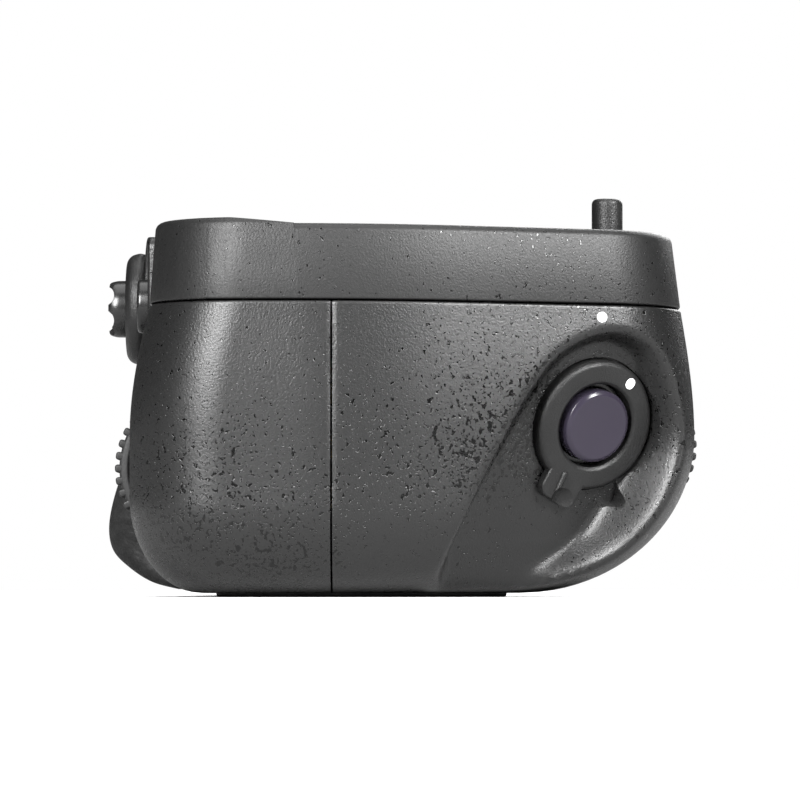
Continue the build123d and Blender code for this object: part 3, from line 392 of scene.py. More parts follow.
frontShell = wholeCase
rearShell = wholeCase.copy()
rearShell.data = wholeCase.data.copy()
scene.collection.objects.link(rearShell)
frontShell.name, rearShell.name = "frontCase", "rearCase"
gapHalf = body["seamGap"] / 2
cutAll(frontShell, [boxTool((-100, 100), (body["seamY"] + gapHalf, 60), (-5, 50))], "INTERSECT")
cutAll(rearShell, [boxTool((-100, 100), (-60, body["seamY"] - gapHalf), (-5, 50))], "INTERSECT")
dials = {
    "front": {"centre": case["frontDial"], "radius": 9.1, "ribs": 35, "body": "front_wheel", "node": "front_dial"},
    "rear": {"centre": case["rearDial"], "radius": 10.5, "ribs": 40, "body": "rear_wheel", "node": "rear_dial"},
}
slotHalf, slotGap = case["dialSlot"]
cutAll(frontShell, [
    turned("tool", release["centre"], release["normal"],
           [(0, -release["pocket"]), (8.6, -release["pocket"], 0.15), (8.6, 6), (0, 6)]),
    rodTool(release["centre"], release["normal"], release["guideR"] + 0.15, -8, 6),
    rodTool(case["frontDial"], (1, 0, 0), dials["front"]["radius"] + slotGap, -slotHalf, slotHalf),
])
cutAll(rearShell, [
    rodTool(case["rearDial"], (1, 0, 0), dials["rear"]["radius"] + slotGap, -slotHalf, slotHalf),
    boxTool(*case["window"]),
])
finishPiece(frontShell, "housing", "textured_plastic", "front_shell", smoothAngle=30)
finishPiece(rearShell, "housing", "textured_plastic", "rear_shell", smoothAngle=30)
print("case halves", len(frontShell.data.polygons), len(rearShell.data.polygons), "faces")

# the top frame that the camera sits on
seat = {
    "edge": 1.0, "footEdge": 0.3, "plate": 2.5, "lipRise": 0.75, "lipY": (-21.0, -13.0), "lipX": 31.0,
    "screwHole": 3.62, "pin": (45.0, 26.8, 2.2), "contacts": ((19.7, 42.3), (-12.3, -3.7)),
    "wheelSlot": ((-14.05, 14.05), (0, 20), (37.2, 43.2)),
    "screwsAt": [(-58, 6), (-58, -22), (-24, -22), (-25, 7), (28, 7), (25, -22), (70, -10), (36, 26.5)],
}
frameArcs, frameRuns = [10, 16, 16, 20, 10, 10, 8], [4, 2, 2, 2, 2, 3, 2]


def frameBlock(top):
    foot = topZ + body["frameGap"]
    levels = [(foot + h, seat["footEdge"] - math.sqrt(max(0, seat["footEdge"] ** 2 - (seat["footEdge"] - h) ** 2)))
              for h in (0.0, 0.05, 0.14, 0.3)]
    levels += [(z, insetAt(z, top, seat["edge"])) for z in
               [top - seat["edge"] * (1 - math.sin(math.radians(a))) for a in (0, 15, 30, 45, 60, 75, 90)]]
    return stackRows("topFrame", levelRings(levels, frameArcs, frameRuns))


topFrame = frameBlock(body["seatZ"])
lip = frameBlock(body["seatZ"] + seat["lipRise"])
lipTop = body["seatZ"] + seat["lipRise"]
wedge = [(-60, 40), (-60, lipTop + 1), (seat["lipY"][0] - 0.9, lipTop + 1), (seat["lipY"][0], lipTop - 0.01),
         (seat["lipY"][1], body["seatZ"] - 0.01), (seat["lipY"][1], 40)]
wedgeVerts = [(x * mm, y * mm, z * mm) for x in (seat["lipX"], 100) for y, z in wedge]
n = len(wedge)
wedgeFaces = [tuple(range(n)), tuple(range(n, 2 * n))] + [(i, (i + 1) % n, n + (i + 1) % n, n + i) for i in range(n)]
cutAll(lip, [makeObject("tool", wedgeVerts, wedgeFaces, outward=True)], "INTERSECT")
cutAll(topFrame, [lip], "UNION")
frameRoom = levelRings([(topZ, body["wall"]), (body["seatZ"] - seat["plate"], body["wall"])], frameArcs, frameRuns)
frameRoom[0][:, 2] = topZ - 3
holes = [stackRows("tool", frameRoom), boxTool(*seat["wheelSlot"]), boxTool(*case["window"]),
         rodTool((0, 0, 0), (0, 0, 1), seat["screwHole"], 40, 60),
         rodTool((seat["pin"][0], seat["pin"][1], 0), (0, 0, 1), seat["pin"][2], 40, 60),
         boxTool(*seat["contacts"], (40, 60))]
for x, y in seat["screwsAt"]:
    holes.append(rodTool((x, y, 0), (0, 0, 1), 2.15, body["seatZ"] - 1.5, 60, count=40))
    holes.append(rodTool((x, y, 0), (0, 0, 1), 1.15, 40, 60, count=24))
cutAll(topFrame, holes)
finishPiece(topFrame, "housing", "textured_plastic", "top_frame", smoothAngle=30)
print("top frame", len(topFrame.data.polygons), "faces")


# materials
def newMaterial(name):
    material = bpy.data.materials.new(name)
    material.use_nodes = True
    tree = material.node_tree
    tree.nodes.clear()
    out = tree.nodes.new("ShaderNodeOutputMaterial")
    shader = tree.nodes.new("ShaderNodeBsdfPrincipled")
    tree.links.new(shader.outputs["BSDF"], out.inputs["Surface"])
    return material, tree, shader


def node(tree, kind, inputs=None, **settings):
    made = tree.nodes.new(kind)
    for key, value in settings.items():
        setattr(made, key, value)
    for key, value in (inputs or {}).items():
        if isinstance(value, bpy.types.NodeSocket):
            tree.links.new(value, made.inputs[key])
        else:
            made.inputs[key].default_value = value
    return made


def sums(tree, operation, a, b, c=None):
    values = {0: a, 1: b}
    if c is not None:
        values[2] = c
    return node(tree, "ShaderNodeMath", values, operation=operation).outputs[0]


def rampBetween(tree, factor, stops):
    ramp = node(tree, "ShaderNodeValToRGB", {"Fac": factor})
    while len(ramp.color_ramp.elements) < len(stops):
        ramp.color_ramp.elements.new(0.5)
    for element, (place, value) in zip(ramp.color_ramp.elements, stops):
        element.position = place
        element.color = (*value, 1) if isinstance(value, tuple) else (value, value, value, 1)
    return ramp.outputs["Color"]


def noise(tree, place, scale, detail=2.0, roughness=0.55):
    return node(tree, "ShaderNodeTexNoise", {"Vector": place, "Scale": scale, "Detail": detail,
                                             "Roughness": roughness}).outputs["Fac"]


def crinkledPlastic(name, finish):
    # sprayed crinkle paint: a fine grain, scattered glossy pits that come in patches, and glossy specks that glint
    # bright; both are painted near black as a painted dark reflection
    material, tree, shader = newMaterial(name)
    place = node(tree, "ShaderNodeTexCoord").outputs["Object"]
    grain = noise(tree, place, finish["grainScale"], 3.0, 0.6)
    fleck = noise(tree, place, finish["fleckScale"], 1.5, 0.5)
    patches = noise(tree, place, 34.0, 2.0)
    tone = noise(tree, place, 20.0, 2.0)
    # pits and specks gather on the hand grip's upper half and thin out elsewhere; painted near black, they lay a
    # painted dark reflection there, while their gloss makes them glint
    across = node(tree, "ShaderNodeSeparateXYZ", {"Vector": place}).outputs
    darkReflectionZone = sums(tree, "MULTIPLY", rampBetween(tree, sums(tree, "MULTIPLY_ADD", across["Y"], 20.0, 0.5),
                                              [(0.2, 0.0), (0.5, 1.0)]),
                rampBetween(tree, sums(tree, "MULTIPLY", across["Z"], 20.0), [(0.2, 0.0), (0.36, 1.0)]))
    patches = sums(tree, "MULTIPLY_ADD", darkReflectionZone, finish["darkReflectionGain"], patches)
    reach = sums(tree, "MULTIPLY_ADD", patches, finish["patchiness"], fleck)
    pits = rampBetween(tree, reach, [(finish["pitFrom"], 0.0), (finish["pitFrom"] + 0.025, 1.0)])
    dots = noise(tree, place, finish["fleckScale"] * 1.9, 1.0, 0.5)
    specks = rampBetween(tree, sums(tree, "MULTIPLY_ADD", patches, finish["patchiness"], dots),
                         [(finish["pitFrom"] + 0.01, 0.0), (finish["pitFrom"] + 0.04, 1.0)])
    level = sums(tree, "MULTIPLY_ADD", grain, 0.22, finish["roughness"] - 0.11)
    flat = sums(tree, "MAXIMUM", specks, pits)
    level = sums(tree, "MULTIPLY_ADD", flat, -finish["sparkle"], level)
    ground = rampBetween(tree, tone, [(0.35, finish["dark"]), (0.65, finish["colour"])])
    # pits and specks get the near-black pit colour: painted dark reflection
    mix = node(tree, "ShaderNodeMix", {0: flat, 6: ground, 7: (finish["pitDarkReflection"],) * 3 + (1,)}, data_type="RGBA")
    tree.links.new(mix.outputs[2], shader.inputs["Base Color"])
    tree.links.new(level, shader.inputs["Roughness"])
    height = sums(tree, "MULTIPLY_ADD", flat, -0.4, grain)
    bump = node(tree, "ShaderNodeBump", {"Strength": finish["bump"], "Distance": finish["depth"], "Height": height})
    tree.links.new(bump.outputs["Normal"], shader.inputs["Normal"])
    shader.inputs["Specular IOR Level"].default_value = finish["specular"]
    return material


def smoothFinish(name, finish):
    # a plain moulded, plated or painted face with a faint unevenness
    material, tree, shader = newMaterial(name)
    place = node(tree, "ShaderNodeTexCoord").outputs["Object"]
    fine = noise(tree, place, finish["scale"], 3.0)
    slow = noise(tree, place, finish["scale"] * 0.04, 2.0)
    tree.links.new(rampBetween(tree, slow, [(0.35, finish["dark"]), (0.65, finish["colour"])]),
                   shader.inputs["Base Color"])
    spread = finish.get("spread", 0.05)
    tree.links.new(rampBetween(tree, fine, [(0.3, finish["roughness"] - spread), (0.7, finish["roughness"] + spread)]),
                   shader.inputs["Roughness"])
    bump = node(tree, "ShaderNodeBump", {"Strength": finish["bump"], "Distance": finish["depth"], "Height": fine})
    tree.links.new(bump.outputs["Normal"], shader.inputs["Normal"])
    shader.inputs["Metallic"].default_value = finish.get("metallic", 0.0)
    shader.inputs["Coat Weight"].default_value = finish.get("coat", 0.0)
    shader.inputs["Coat Roughness"].default_value = 0.08
    shader.inputs["Specular IOR Level"].default_value = finish.get("specular", 0.5)
    return material


def pebbledRubber(name, finish):
    # moulded rubber with a leather-like pebble
    material, tree, shader = newMaterial(name)
    place = node(tree, "ShaderNodeTexCoord").outputs["Object"]
    fine = noise(tree, place, finish["scale"] * 3, 3.0)
    bent = node(tree, "ShaderNodeVectorMath", {0: place, 1: (0.0004, 0.0003, 0.0005)}, operation="ADD").outputs[0]
    pebble = node(tree, "ShaderNodeTexVoronoi", {"Vector": bent, "Scale": finish["scale"], "Smoothness": 0.5},
                  feature="SMOOTH_F1").outputs["Distance"]
    # the colour darkens from each pebble's middle to the grooves between pebbles: painted shade in the grooves
    tree.links.new(rampBetween(tree, pebble, [(0.2, finish["colour"]), (0.7, finish["dark"])]),
                   shader.inputs["Base Color"])
    tree.links.new(rampBetween(tree, fine, [(0.3, finish["roughness"] - 0.08), (0.7, finish["roughness"] + 0.08)]),
                   shader.inputs["Roughness"])
    height = sums(tree, "MULTIPLY_ADD", pebble, -1.4, fine)
    bump = node(tree, "ShaderNodeBump", {"Strength": finish["bump"], "Distance": finish["depth"], "Height": height})
    tree.links.new(bump.outputs["Normal"], shader.inputs["Normal"])
    shader.inputs["Specular IOR Level"].default_value = 0.35
    return material


# the pit colour is a painted dark reflection, and the grip's extra pits add more of it
paint = {
    "grainScale": 3800.0, "fleckScale": 1500.0, "patchiness": 0.45, "pitFrom": 0.895, "darkReflectionGain": 0.09,
    "bump": 0.62, "depth": 0.00008, "dark": 0.006, "colour": 0.009, "pitDarkReflection": 0.001, "roughness": 0.35,
    "sparkle": 0.24, "specular": 0.5,
}
smoothFinishes = {
    "ringPlastic": {
        "scale": 4600.0, "dark": 0.006, "colour": 0.009, "roughness": 0.4, "spread": 0.1, "bump": 0.8,
        "depth": 0.00009, "specular": 0.4},
    "glossPlastic": {
        "scale": 700.0, "dark": (0.017, 0.014, 0.022), "colour": (0.02, 0.017, 0.026), "roughness": 0.2,
        "spread": 0.02, "bump": 0.02, "depth": 0.00001, "specular": 0.28},
    "blackGloss": {
        "scale": 900.0, "dark": 0.008, "colour": 0.011, "roughness": 0.26, "spread": 0.03, "bump": 0.05,
        "depth": 0.00002, "specular": 0.45},
    "basePlastic": {
        "scale": 2400.0, "dark": 0.014, "colour": 0.019, "roughness": 0.5, "spread": 0.06, "bump": 0.3,
        "depth": 0.00005},
    "dialRubber": {
        "scale": 3000.0, "dark": 0.007, "colour": 0.011, "roughness": 0.55, "spread": 0.08, "bump": 0.3,
        "depth": 0.00005, "specular": 0.45},
    "markWhite": {
        "scale": 3000.0, "dark": 0.78, "colour": 0.86, "roughness": 0.5, "bump": 0.1,
        "depth": 0.00001},
    "greyPlastic": {
        "scale": 2000.0, "dark": 0.2, "colour": 0.26, "roughness": 0.5, "bump": 0.15,
        "depth": 0.00003},
    "packPlastic": {
        "scale": 1800.0, "dark": 0.05, "colour": 0.07, "roughness": 0.45, "spread": 0.06, "bump": 0.2,
        "depth": 0.00004},
    "chipPlastic": {
        "scale": 3000.0, "dark": 0.012, "colour": 0.016, "roughness": 0.5, "bump": 0.2,
        "depth": 0.00003},
    "boardGreen": {
        "scale": 1400.0, "dark": (0.01, 0.09, 0.035), "colour": (0.014, 0.13, 0.05), "roughness": 0.32,
        "bump": 0.08, "depth": 0.00003},
    "turnedSteel": {
        "scale": 2600.0, "dark": 0.42, "colour": 0.55, "roughness": 0.28, "spread": 0.08, "bump": 0.12,
        "depth": 0.00002, "metallic": 1.0},
    "darkScrew": {
        "scale": 2600.0, "dark": 0.05, "colour": 0.09, "roughness": 0.36, "spread": 0.08, "bump": 0.15,
        "depth": 0.00002, "metallic": 1.0},
    "castMetal": {
        "scale": 1500.0, "dark": 0.28, "colour": 0.36, "roughness": 0.5, "spread": 0.1, "bump": 0.4,
        "depth": 0.00008, "metallic": 1.0},
    "goldPlate": {
        "scale": 2400.0, "dark": (0.62, 0.42, 0.13), "colour": (0.78, 0.55, 0.2), "roughness": 0.25,
        "spread": 0.06, "bump": 0.08, "depth": 0.00002, "metallic": 1.0},
}
finishes = {name: smoothFinish(name, finish) for name, finish in smoothFinishes.items()}
finishes["casePlastic"] = crinkledPlastic("casePlastic", paint)
finishes["framePlastic"] = crinkledPlastic("framePlastic", {**paint, "darkReflectionGain": 0.06, "roughness": 0.45,
                                                            "specular": 0.42})
finishes["gripRubber"] = pebbledRubber("gripRubber", {
    "scale": 900.0, "dark": 0.005, "colour": 0.009, "roughness": 0.66, "bump": 0.7, "depth": 0.00016})
print("materials", len(finishes))

# what repeats is placed by Geometry Nodes
def plainMesh(obj, name):
    # the evaluated result as a mesh of its own, with no modifier left
    evaluated = obj.evaluated_get(bpy.context.evaluated_depsgraph_get())
    mesh = bpy.data.meshes.new_from_object(evaluated)
    result = bpy.data.objects.new(name, mesh)
    scene.collection.objects.link(result)
    discard(obj)
    return result


def scatterTree(ringed):
    # copies of a piece on the points of a mesh, or round a circle about its own Z
    tree = bpy.data.node_groups.new("ribsRound" if ringed else "onPoints", "GeometryNodeTree")
    face = tree.interface
    kinds = {"Geometry": "NodeSocketGeometry", "Piece": "NodeSocketObject", "Finish": "NodeSocketMaterial",
             "Count": "NodeSocketInt", "Radius": "NodeSocketFloat", "Centre": "NodeSocketVector",
             "Turn": "NodeSocketVector", "Seed": "NodeSocketInt"}
    ids = {name: face.new_socket(name=name, in_out="INPUT", socket_type=kind).identifier
           for name, kind in kinds.items()}
    face.new_socket(name="Geometry", in_out="OUTPUT", socket_type="NodeSocketGeometry")
    given = tree.nodes.new("NodeGroupInput").outputs
    info = node(tree, "GeometryNodeObjectInfo", {"Object": given["Piece"]})
    if ringed:
        circle = node(tree, "GeometryNodeMeshCircle", {"Vertices": given["Count"], "Radius": given["Radius"]})
        step = node(tree, "ShaderNodeMath", {0: 2 * math.pi, 1: given["Count"]}, operation="DIVIDE")
        index = tree.nodes.new("GeometryNodeInputIndex")
        turn = node(tree, "ShaderNodeMath", {0: index.outputs[0], 1: step.outputs[0]},
                    operation="MULTIPLY").outputs[0]
        points = circle.outputs["Mesh"]
    else:
        loose = node(tree, "FunctionNodeRandomValue", {3: 2 * math.pi, "Seed": given["Seed"]}, data_type="FLOAT")
        turn, points = loose.outputs[1], given["Geometry"]
    angle = node(tree, "ShaderNodeCombineXYZ", {"Z": turn})
    result = node(tree, "GeometryNodeInstanceOnPoints", {"Points": points, "Instance": info.outputs["Geometry"],
                                                         "Rotation": angle.outputs[0]})
    if ringed:
        move = node(tree, "GeometryNodeTransform", {"Geometry": result.outputs[0], "Translation": given["Centre"],
                                                    "Rotation": given["Turn"]})
        result = tree.nodes.new("GeometryNodeJoinGeometry")
        tree.links.new(move.outputs[0], result.inputs[0])
        tree.links.new(given["Geometry"], result.inputs[0])
    realised = node(tree, "GeometryNodeRealizeInstances", {0: result.outputs[0]})
    finish = node(tree, "GeometryNodeSetMaterial", {"Geometry": realised.outputs[0], "Material": given["Finish"]})
    node(tree, "NodeGroupOutput", {0: finish.outputs[0]})
    return tree, ids


onPoints = scatterTree(False)
ribsRound = scatterTree(True)


def scatter(name, base, pattern, values):
    tree, ids = pattern
    modifier = base.modifiers.new("pattern", "NODES")
    modifier.node_group = tree
    for key, value in values.items():
        modifier[ids[key]] = value
    result = plainMesh(base, name)
    discard(values["Piece"])
    return result


def pointsMesh(places):
    mesh = bpy.data.meshes.new("points")
    mesh.from_pydata([tuple(c * mm for c in p) for p in places], [], [])
    obj = bpy.data.objects.new("points", mesh)
    scene.collection.objects.link(obj)
    return obj


# screws, each with a cross recess
screws = {
    "base": {"at": [(-54, -18), (-54, 0), (10, -18), (10, 0), (-30, -19.3), (44, -19.3), (-30, 6), (48, 9.5),
                    (28, -14), (62, -4), (36, 9.2)],
             "face": 0.3, "head": 1.2, "shank": 3.9, "out": -1, "node": "base_screws", "name": "baseScrews"},
    "frame": {"at": seat["screwsAt"], "face": body["seatZ"] - 0.3, "head": 1.2, "shank": 9.9, "out": 1,
              "node": "frame_screws", "name": "frameScrews"},
}
for kind in screws.values():
    out = kind["out"]
    profile = [(0, 0), (1.75, 0), (2.0, -0.3, 0.3), (2.0, -kind["head"]), (1.0, -kind["head"]),
                        (1.0, -kind["head"] - kind["shank"], 0.3), (0, -kind["head"] - kind["shank"])]
    screw = turned("screw", (0, 0, 0), (0, 0, out), profile, count=28)
    cross = [boxTool((-1.3, 1.3), (-0.25, 0.25), sorted((-0.7 * out, 1.0 * out))),
             boxTool((-0.25, 0.25), (-1.3, 1.3), sorted((-0.7 * out, 1.0 * out)))]
    cutAll(screw, cross)
    places = pointsMesh([(x, y, kind["face"]) for x, y in kind["at"]])
    made = scatter(kind["name"], places, onPoints, {"Piece": screw, "Finish": finishes["darkScrew"], "Seed": 4})
    finishPiece(made, "housing", "screw_steel", kind["node"])
    kind["made"] = made
print("screws placed")


# the ribbed wheels
def ribTemplate(width, height, length, edge=0.25):
    # a rounded bar along Z, its crest towards +X
    place = axesAt((0, 0, 0), (1, 0, 0), (0, 0, 1))
    return slab("rib", place, (height / 2, width / 2), min(width, height) * 0.32, (-length / 2, length / 2),
                edge, edge, arcSteps=3)


for side, dial in dials.items():
    r = dial["radius"]
    hub = turned("hub", dial["centre"], (1, 0, 0), [
        (1.55, -1.7), (2.7, -1.7, 0.2), (2.7, -2.6, 0.2), (r - 2.6, -2.6, 0.2), (r - 2.2, -1.9, 0.2),
        (r - 1.6, -2.7, 0.2), (r - 0.55, -2.6, 0.5), (r - 0.55, 2.6, 0.5), (r - 1.6, 2.7, 0.2),
        (r - 2.2, 1.9, 0.2), (r - 2.6, 2.6, 0.2), (2.7, 2.6, 0.2), (2.7, 1.7, 0.2), (1.55, 1.7)],
        closed=True)
    made = scatter(side + "Dial", hub, ribsRound, {
        "Piece": ribTemplate(1.0, 1.4, 5.2, 0.25), "Finish": finishes["dialRubber"], "Count": dial["ribs"],
        "Radius": (r - 0.7) * mm, "Centre": tuple(c * mm for c in dial["centre"]), "Turn": (0, math.pi / 2, 0)})
    finishPiece(made, dial["body"], "rubber", dial["node"])

wheel = {"radius": 16.6, "z": (37.6, 42.8), "ribs": 90}
wheelMiddle = sum(wheel["z"]) / 2
half = (wheel["z"][1] - wheel["z"][0]) / 2
r = wheel["radius"]
hub = turned("hub", (0, 0, wheelMiddle), (0, 0, 1), [
    (3.175, -half), (6.2, -half, 0.3), (6.8, -half + 0.9, 0.3), (r - 3.4, -half + 0.9, 0.3), (r - 2.8, -half, 0.3),
    (r - 0.4, -half, 0.4), (r - 0.4, half, 0.4), (r - 2.8, half, 0.3), (r - 3.4, half - 0.9, 0.3),
    (6.8, half - 0.9, 0.3), (6.2, half, 0.3), (3.175, half)], closed=True, count=120)
made = scatter("clampWheel", hub, ribsRound, {
    "Piece": ribTemplate(0.75, 0.9, 2 * half - 0.5, 0.2), "Finish": finishes["dialRubber"], "Count": wheel["ribs"],
    "Radius": (r - 0.45) * mm, "Centre": (0, 0, wheelMiddle * mm), "Turn": (0, 0, 0)})
finishPiece(made, "clamp", "smooth_plastic", "clamp_wheel")
print("wheels ribbed")


# threads
def threaded(name, z, crest, root, pitch, steps=72, chamfer=0.5):
    # a rod with a screw thread along Z that fades out at both ends
    rows = []
    levels = np.arange(z[0], z[1] + 1e-6, pitch / 10)
    for level in levels:
        row = []
        for i in range(steps):
            turn = 2 * math.pi * i / steps
            wave = abs(((level / pitch - i / steps) % 1.0) * 2 - 1)
            fade = min(1.0, (z[1] - level) / pitch, (level - z[0]) / pitch)
            radius = crest - (crest - root) * min(1.0, wave * 1.15) * max(0.0, fade)
            radius = min(radius, crest - chamfer + max(0.0, z[1] - level))
            row.append((radius * math.cos(turn), radius * math.sin(turn), level))
        rows.append(row)
    return stackRows(name, np.array(rows), smoothAngle=50)


clampScrew = threaded("clampScrew", (body["seatZ"] + 0.2, body["seatZ"] + 4.5), 3.175, 2.72, 1.27)
cutAll(clampScrew, [turned("tool", (0, 0, 0), (0, 0, 1), [
    (0, 35.5), (2.5, 35.5), (2.5, 37.6), (3.175, 37.6), (3.175, 42.8), (2.8, 42.8), (2.8, 46.4), (0, 46.4)])], "UNION")
finishPiece(clampScrew, "clamp", "bright_steel", "clamp_screw")
socket = turned("tripodSocket", (0, 0, 0), (0, 0, 1), [
    (0, 5.9), (5.0, 5.9), (5.0, 3.4), (6.5, 3.4, 0.1), (6.5, 2.5), (5.0, 2.5), (5.0, 0.0, 0.3), (3.5, 0.0, 0.2),
    (3.1, 0.4), (3.1, 5.4), (0, 5.4)])
bore = threaded("tool", (0.6, 5.2), 3.42, 3.1, 1.27, chamfer=0.0)
cutAll(socket, [bore])
finishPiece(socket, "housing", "bright_steel", "tripod_socket")

locatingPin = turned("locatingPin", (seat["pin"][0], seat["pin"][1], 0), (0, 0, 1), [
    (0, 41.5), (2.2, 41.5), (2.2, 46.0, 0.05), (2.0, 46.0), (2.0, 51.4, 0.8), (0, 51.4)], steps=8, count=48)
finishPiece(locatingPin, "housing", "smooth_plastic", "locating_pin")

# the contacts that meet the camera, as sprung pins with domed tips
contactPin = turned("contactPin", (0, 0, 0), (0, 0, 1), [
    (0, 41.5), (0.65, 41.5), (0.65, 47.6, 0.1), (0.45, 47.7), (0.45, 48.3, 0.4), (0, 48.3)], steps=5, count=16)
contactsAt = [(31 + 4 * i, -8 + 1.7 * j, 0) for i in range(-2, 3) for j in (-1, 1)]
places = pointsMesh(contactsAt)
made = scatter("contactPins", places, onPoints, {"Piece": contactPin, "Finish": finishes["goldPlate"], "Seed": 2})
finishPiece(made, "housing", "contact_gold", "contact_pins")
blockPlace = axesAt((31, -8, 0), (1, 0, 0), (0, 0, 1))
contactBlock = slab("contactBlock", blockPlace, (11, 4), 1.2, (42.9, 47.7), 0.5)
foot = slab("tool", blockPlace, (12.5, 5.5), 1.0, (41.9, 43.4), 0.1)
cutAll(contactBlock, [foot], "UNION")
cutAll(contactBlock, [rodTool(place, (0, 0, 1), 0.7, 41.7, 53.7, count=20) for place in contactsAt])
finishPiece(contactBlock, "housing", "gloss_plastic", "contact_block")
print("camera screw, pin and contacts")

# the release button, its lock ring and the white marks
lockRing = {
    "leverAt": 8.3, "leverReach": 2.5, "leverAngle": -115.0, "leverHalf": 2.9, "leverRound": 1.5, "top": 1.4,
    "turn": 36.0, "room": 0.25, "dotRadius": 6.9, "caseDot": (25.1, 34.75),
}
facetCentre, facetNormal = release["centre"], release["normal"]
facetX = Vector((0, 0, 1)).cross(facetNormal).normalized()


def onFacet(angle, distance, across=0.0):
    # a place on the facet, at an angle from its X and a distance from the button's axis
    turn = math.radians(angle)
    facetY = facetNormal.cross(facetX)
    along = facetX * math.cos(turn) + facetY * math.sin(turn)
    side = facetNormal.cross(along)
    return axesAt(facetCentre + along * distance + side * across, along, facetNormal)


ring = turned("lockRing", facetCentre, facetNormal, [
    (5.35, -0.55), (8.3, -0.55, 0.1), (8.3, 0.95, 0.25),
    (7.85, 1.4, 0.3), (5.75, 1.4, 0.2), (5.35, 1.05, 0.1)], closed=True, count=128)
lever = slab("tool", onFacet(lockRing["leverAngle"], lockRing["leverAt"]),
             (lockRing["leverReach"], lockRing["leverHalf"]), lockRing["leverRound"], (0.2, lockRing["top"]), 0.35)
rib = slab("tool", onFacet(lockRing["leverAngle"] + 6, 8.7, -1.5), (2.0, 0.36), 0.34, (1.0, 1.75), 0.33)
cutAll(ring, [lever, rib], "UNION")
# the hollow leaves room for the lever over the whole turn
pathHalf = (lockRing["leverReach"] + lockRing["room"], lockRing["leverHalf"] + lockRing["room"])
leverPath = [slab("tool", onFacet(lockRing["leverAngle"] + turn, lockRing["leverAt"]), pathHalf,
                  lockRing["leverRound"], (0.0, 4.0), 0.35)
             for turn in np.linspace(-2, lockRing["turn"] + 2, 9)]
cutAll(frontShell, leverPath)
shadeByAngle(frontShell, 30)
dish = turned("tool", onFacet(lockRing["leverAngle"], 10.3, 0.9).translation + facetNormal * 3.6, facetNormal,
              [(0, -2.8), (0.9, -2.65), (1.65, -2.26), (2.3, -1.6), (2.7, -0.75), (2.8, 0), (0, 0)], count=48)
cutAll(ring, [dish])
finishPiece(ring, "ring", "smooth_plastic", "lock_ring", smoothAngle=35)

button = turned("releaseButton", facetCentre, facetNormal, [
    (0, -2.0), (4.6, -2.0, 0.1), (4.6, 1.5, 0.15), (4.1, 1.9, 0.3), (3.7, 1.86), (2.2, 1.74), (0, 1.7)],
    steps=7, count=128)
finishPiece(button, "release", "gloss_plastic", "release_button", smoothAngle=50)
guide = turned("buttonGuide", facetCentre, facetNormal, [
    (4.65, -0.5, 0.15), (5.3, -0.5, 0.15), (5.3, -2.0), (7.5, -2.0, 0.1), (7.5, -3.2, 0.1), (5.3, -3.2),
    (5.3, -8.0, 0.1), (1.65, -8.0), (1.65, -7.0), (4.65, -7.0)], closed=True, count=128)
finishPiece(guide, "housing", "gloss_plastic", "button_guide")


def markOn(name, place, half, bodyName):
    dot = slab(name, place, half, min(half) * 0.98, (-0.15, 0.07), 0.06, arcSteps=10)
    finishPiece(dot, bodyName, "smooth_plastic")
    return dot


# the ring's mark stands where up on the camera side would be, turned by the lock's angle
upward = (Vector((0, 0, 1)) - facetNormal * facetNormal.z).normalized()
upAngle = math.degrees(math.atan2(upward.dot(facetNormal.cross(facetX)), upward.dot(facetX)))
ringMark = markOn("ringMark", Matrix.Translation(facetNormal * lockRing["top"])
                  @ onFacet(upAngle - lockRing["turn"], lockRing["dotRadius"]), (0.72, 0.62), "ring")
dotY, dotZ = lockRing["caseDot"]
wall = outlineRing(dotZ, 0.0, case["arcSteps"], case["runSteps"])
wall = wall[wall[:, 0] > 55]
wall = wall[np.argsort(wall[:, 1])]
dotX = float(np.interp(dotY, wall[:, 1], wall[:, 0]))
slope = (float(np.interp(dotY + 0.5, wall[:, 1], wall[:, 0])) - float(np.interp(dotY - 0.5, wall[:, 1], wall[:, 0])))
caseMark = markOn("caseMark", axesAt((dotX, dotY, dotZ), (0, 0, 1), (1, -slope, 0)), (0.66, 0.66), "housing")
print("release group")

# the controls on the rear
rearAim = (0, -1, 0)
selectorAt, sideButtonAt = (47.5, 0, 37.0), (61.0, 0, 36.6)
notch = {"offset": 1.6, "radius": 1.35, "y": -38.0}
panel = slab("rearPanel", axesAt((51.25, 0, 35.55), (1, 0, 0), rearAim), (14.75, 9.55), 1.6, (29.0, 31.6), 0.5)
cutAll(panel, [rodTool(selectorAt, rearAim, 3.2, 20, 40), rodTool(sideButtonAt, rearAim, 3.45, 20, 40)])
finishPiece(panel, "housing", "textured_plastic", "rear_control_panel")
bezel = turned("selectorBezel", selectorAt, rearAim, [
    (8.2, 31.6), (9.3, 31.6), (9.3, 32.5, 0.35), (8.2, 32.5, 0.2)], closed=True, count=128)
finishPiece(bezel, "housing", "smooth_plastic", "selector_bezel")
pad = turned("selectorPad", selectorAt, rearAim, [
    (1.05, 26.5), (2.4, 26.5), (2.4, 32.6, 0.4), (7.0, 32.6, 0.2), (7.2, 33.4, 0.3), (6.9, 34.6, 0.7),
    (5.9, 35.2, 0.5), (4.7, 34.75, 0.5), (3.7, 34.6, 0.2), (3.7, 33.6), (1.05, 33.6)],
    closed=True, count=128)
cutAll(pad, [rodTool((47.5, -27.5, 37.0), (1, 0, 0), 0.5, -4.6, 4.6, count=24)], "UNION")
cutAll(pad, [rodTool(selectorAt, rearAim, 1.05, 20, 33.8, count=48)])
finishPiece(pad, "selector", "smooth_plastic", "selector_pad")
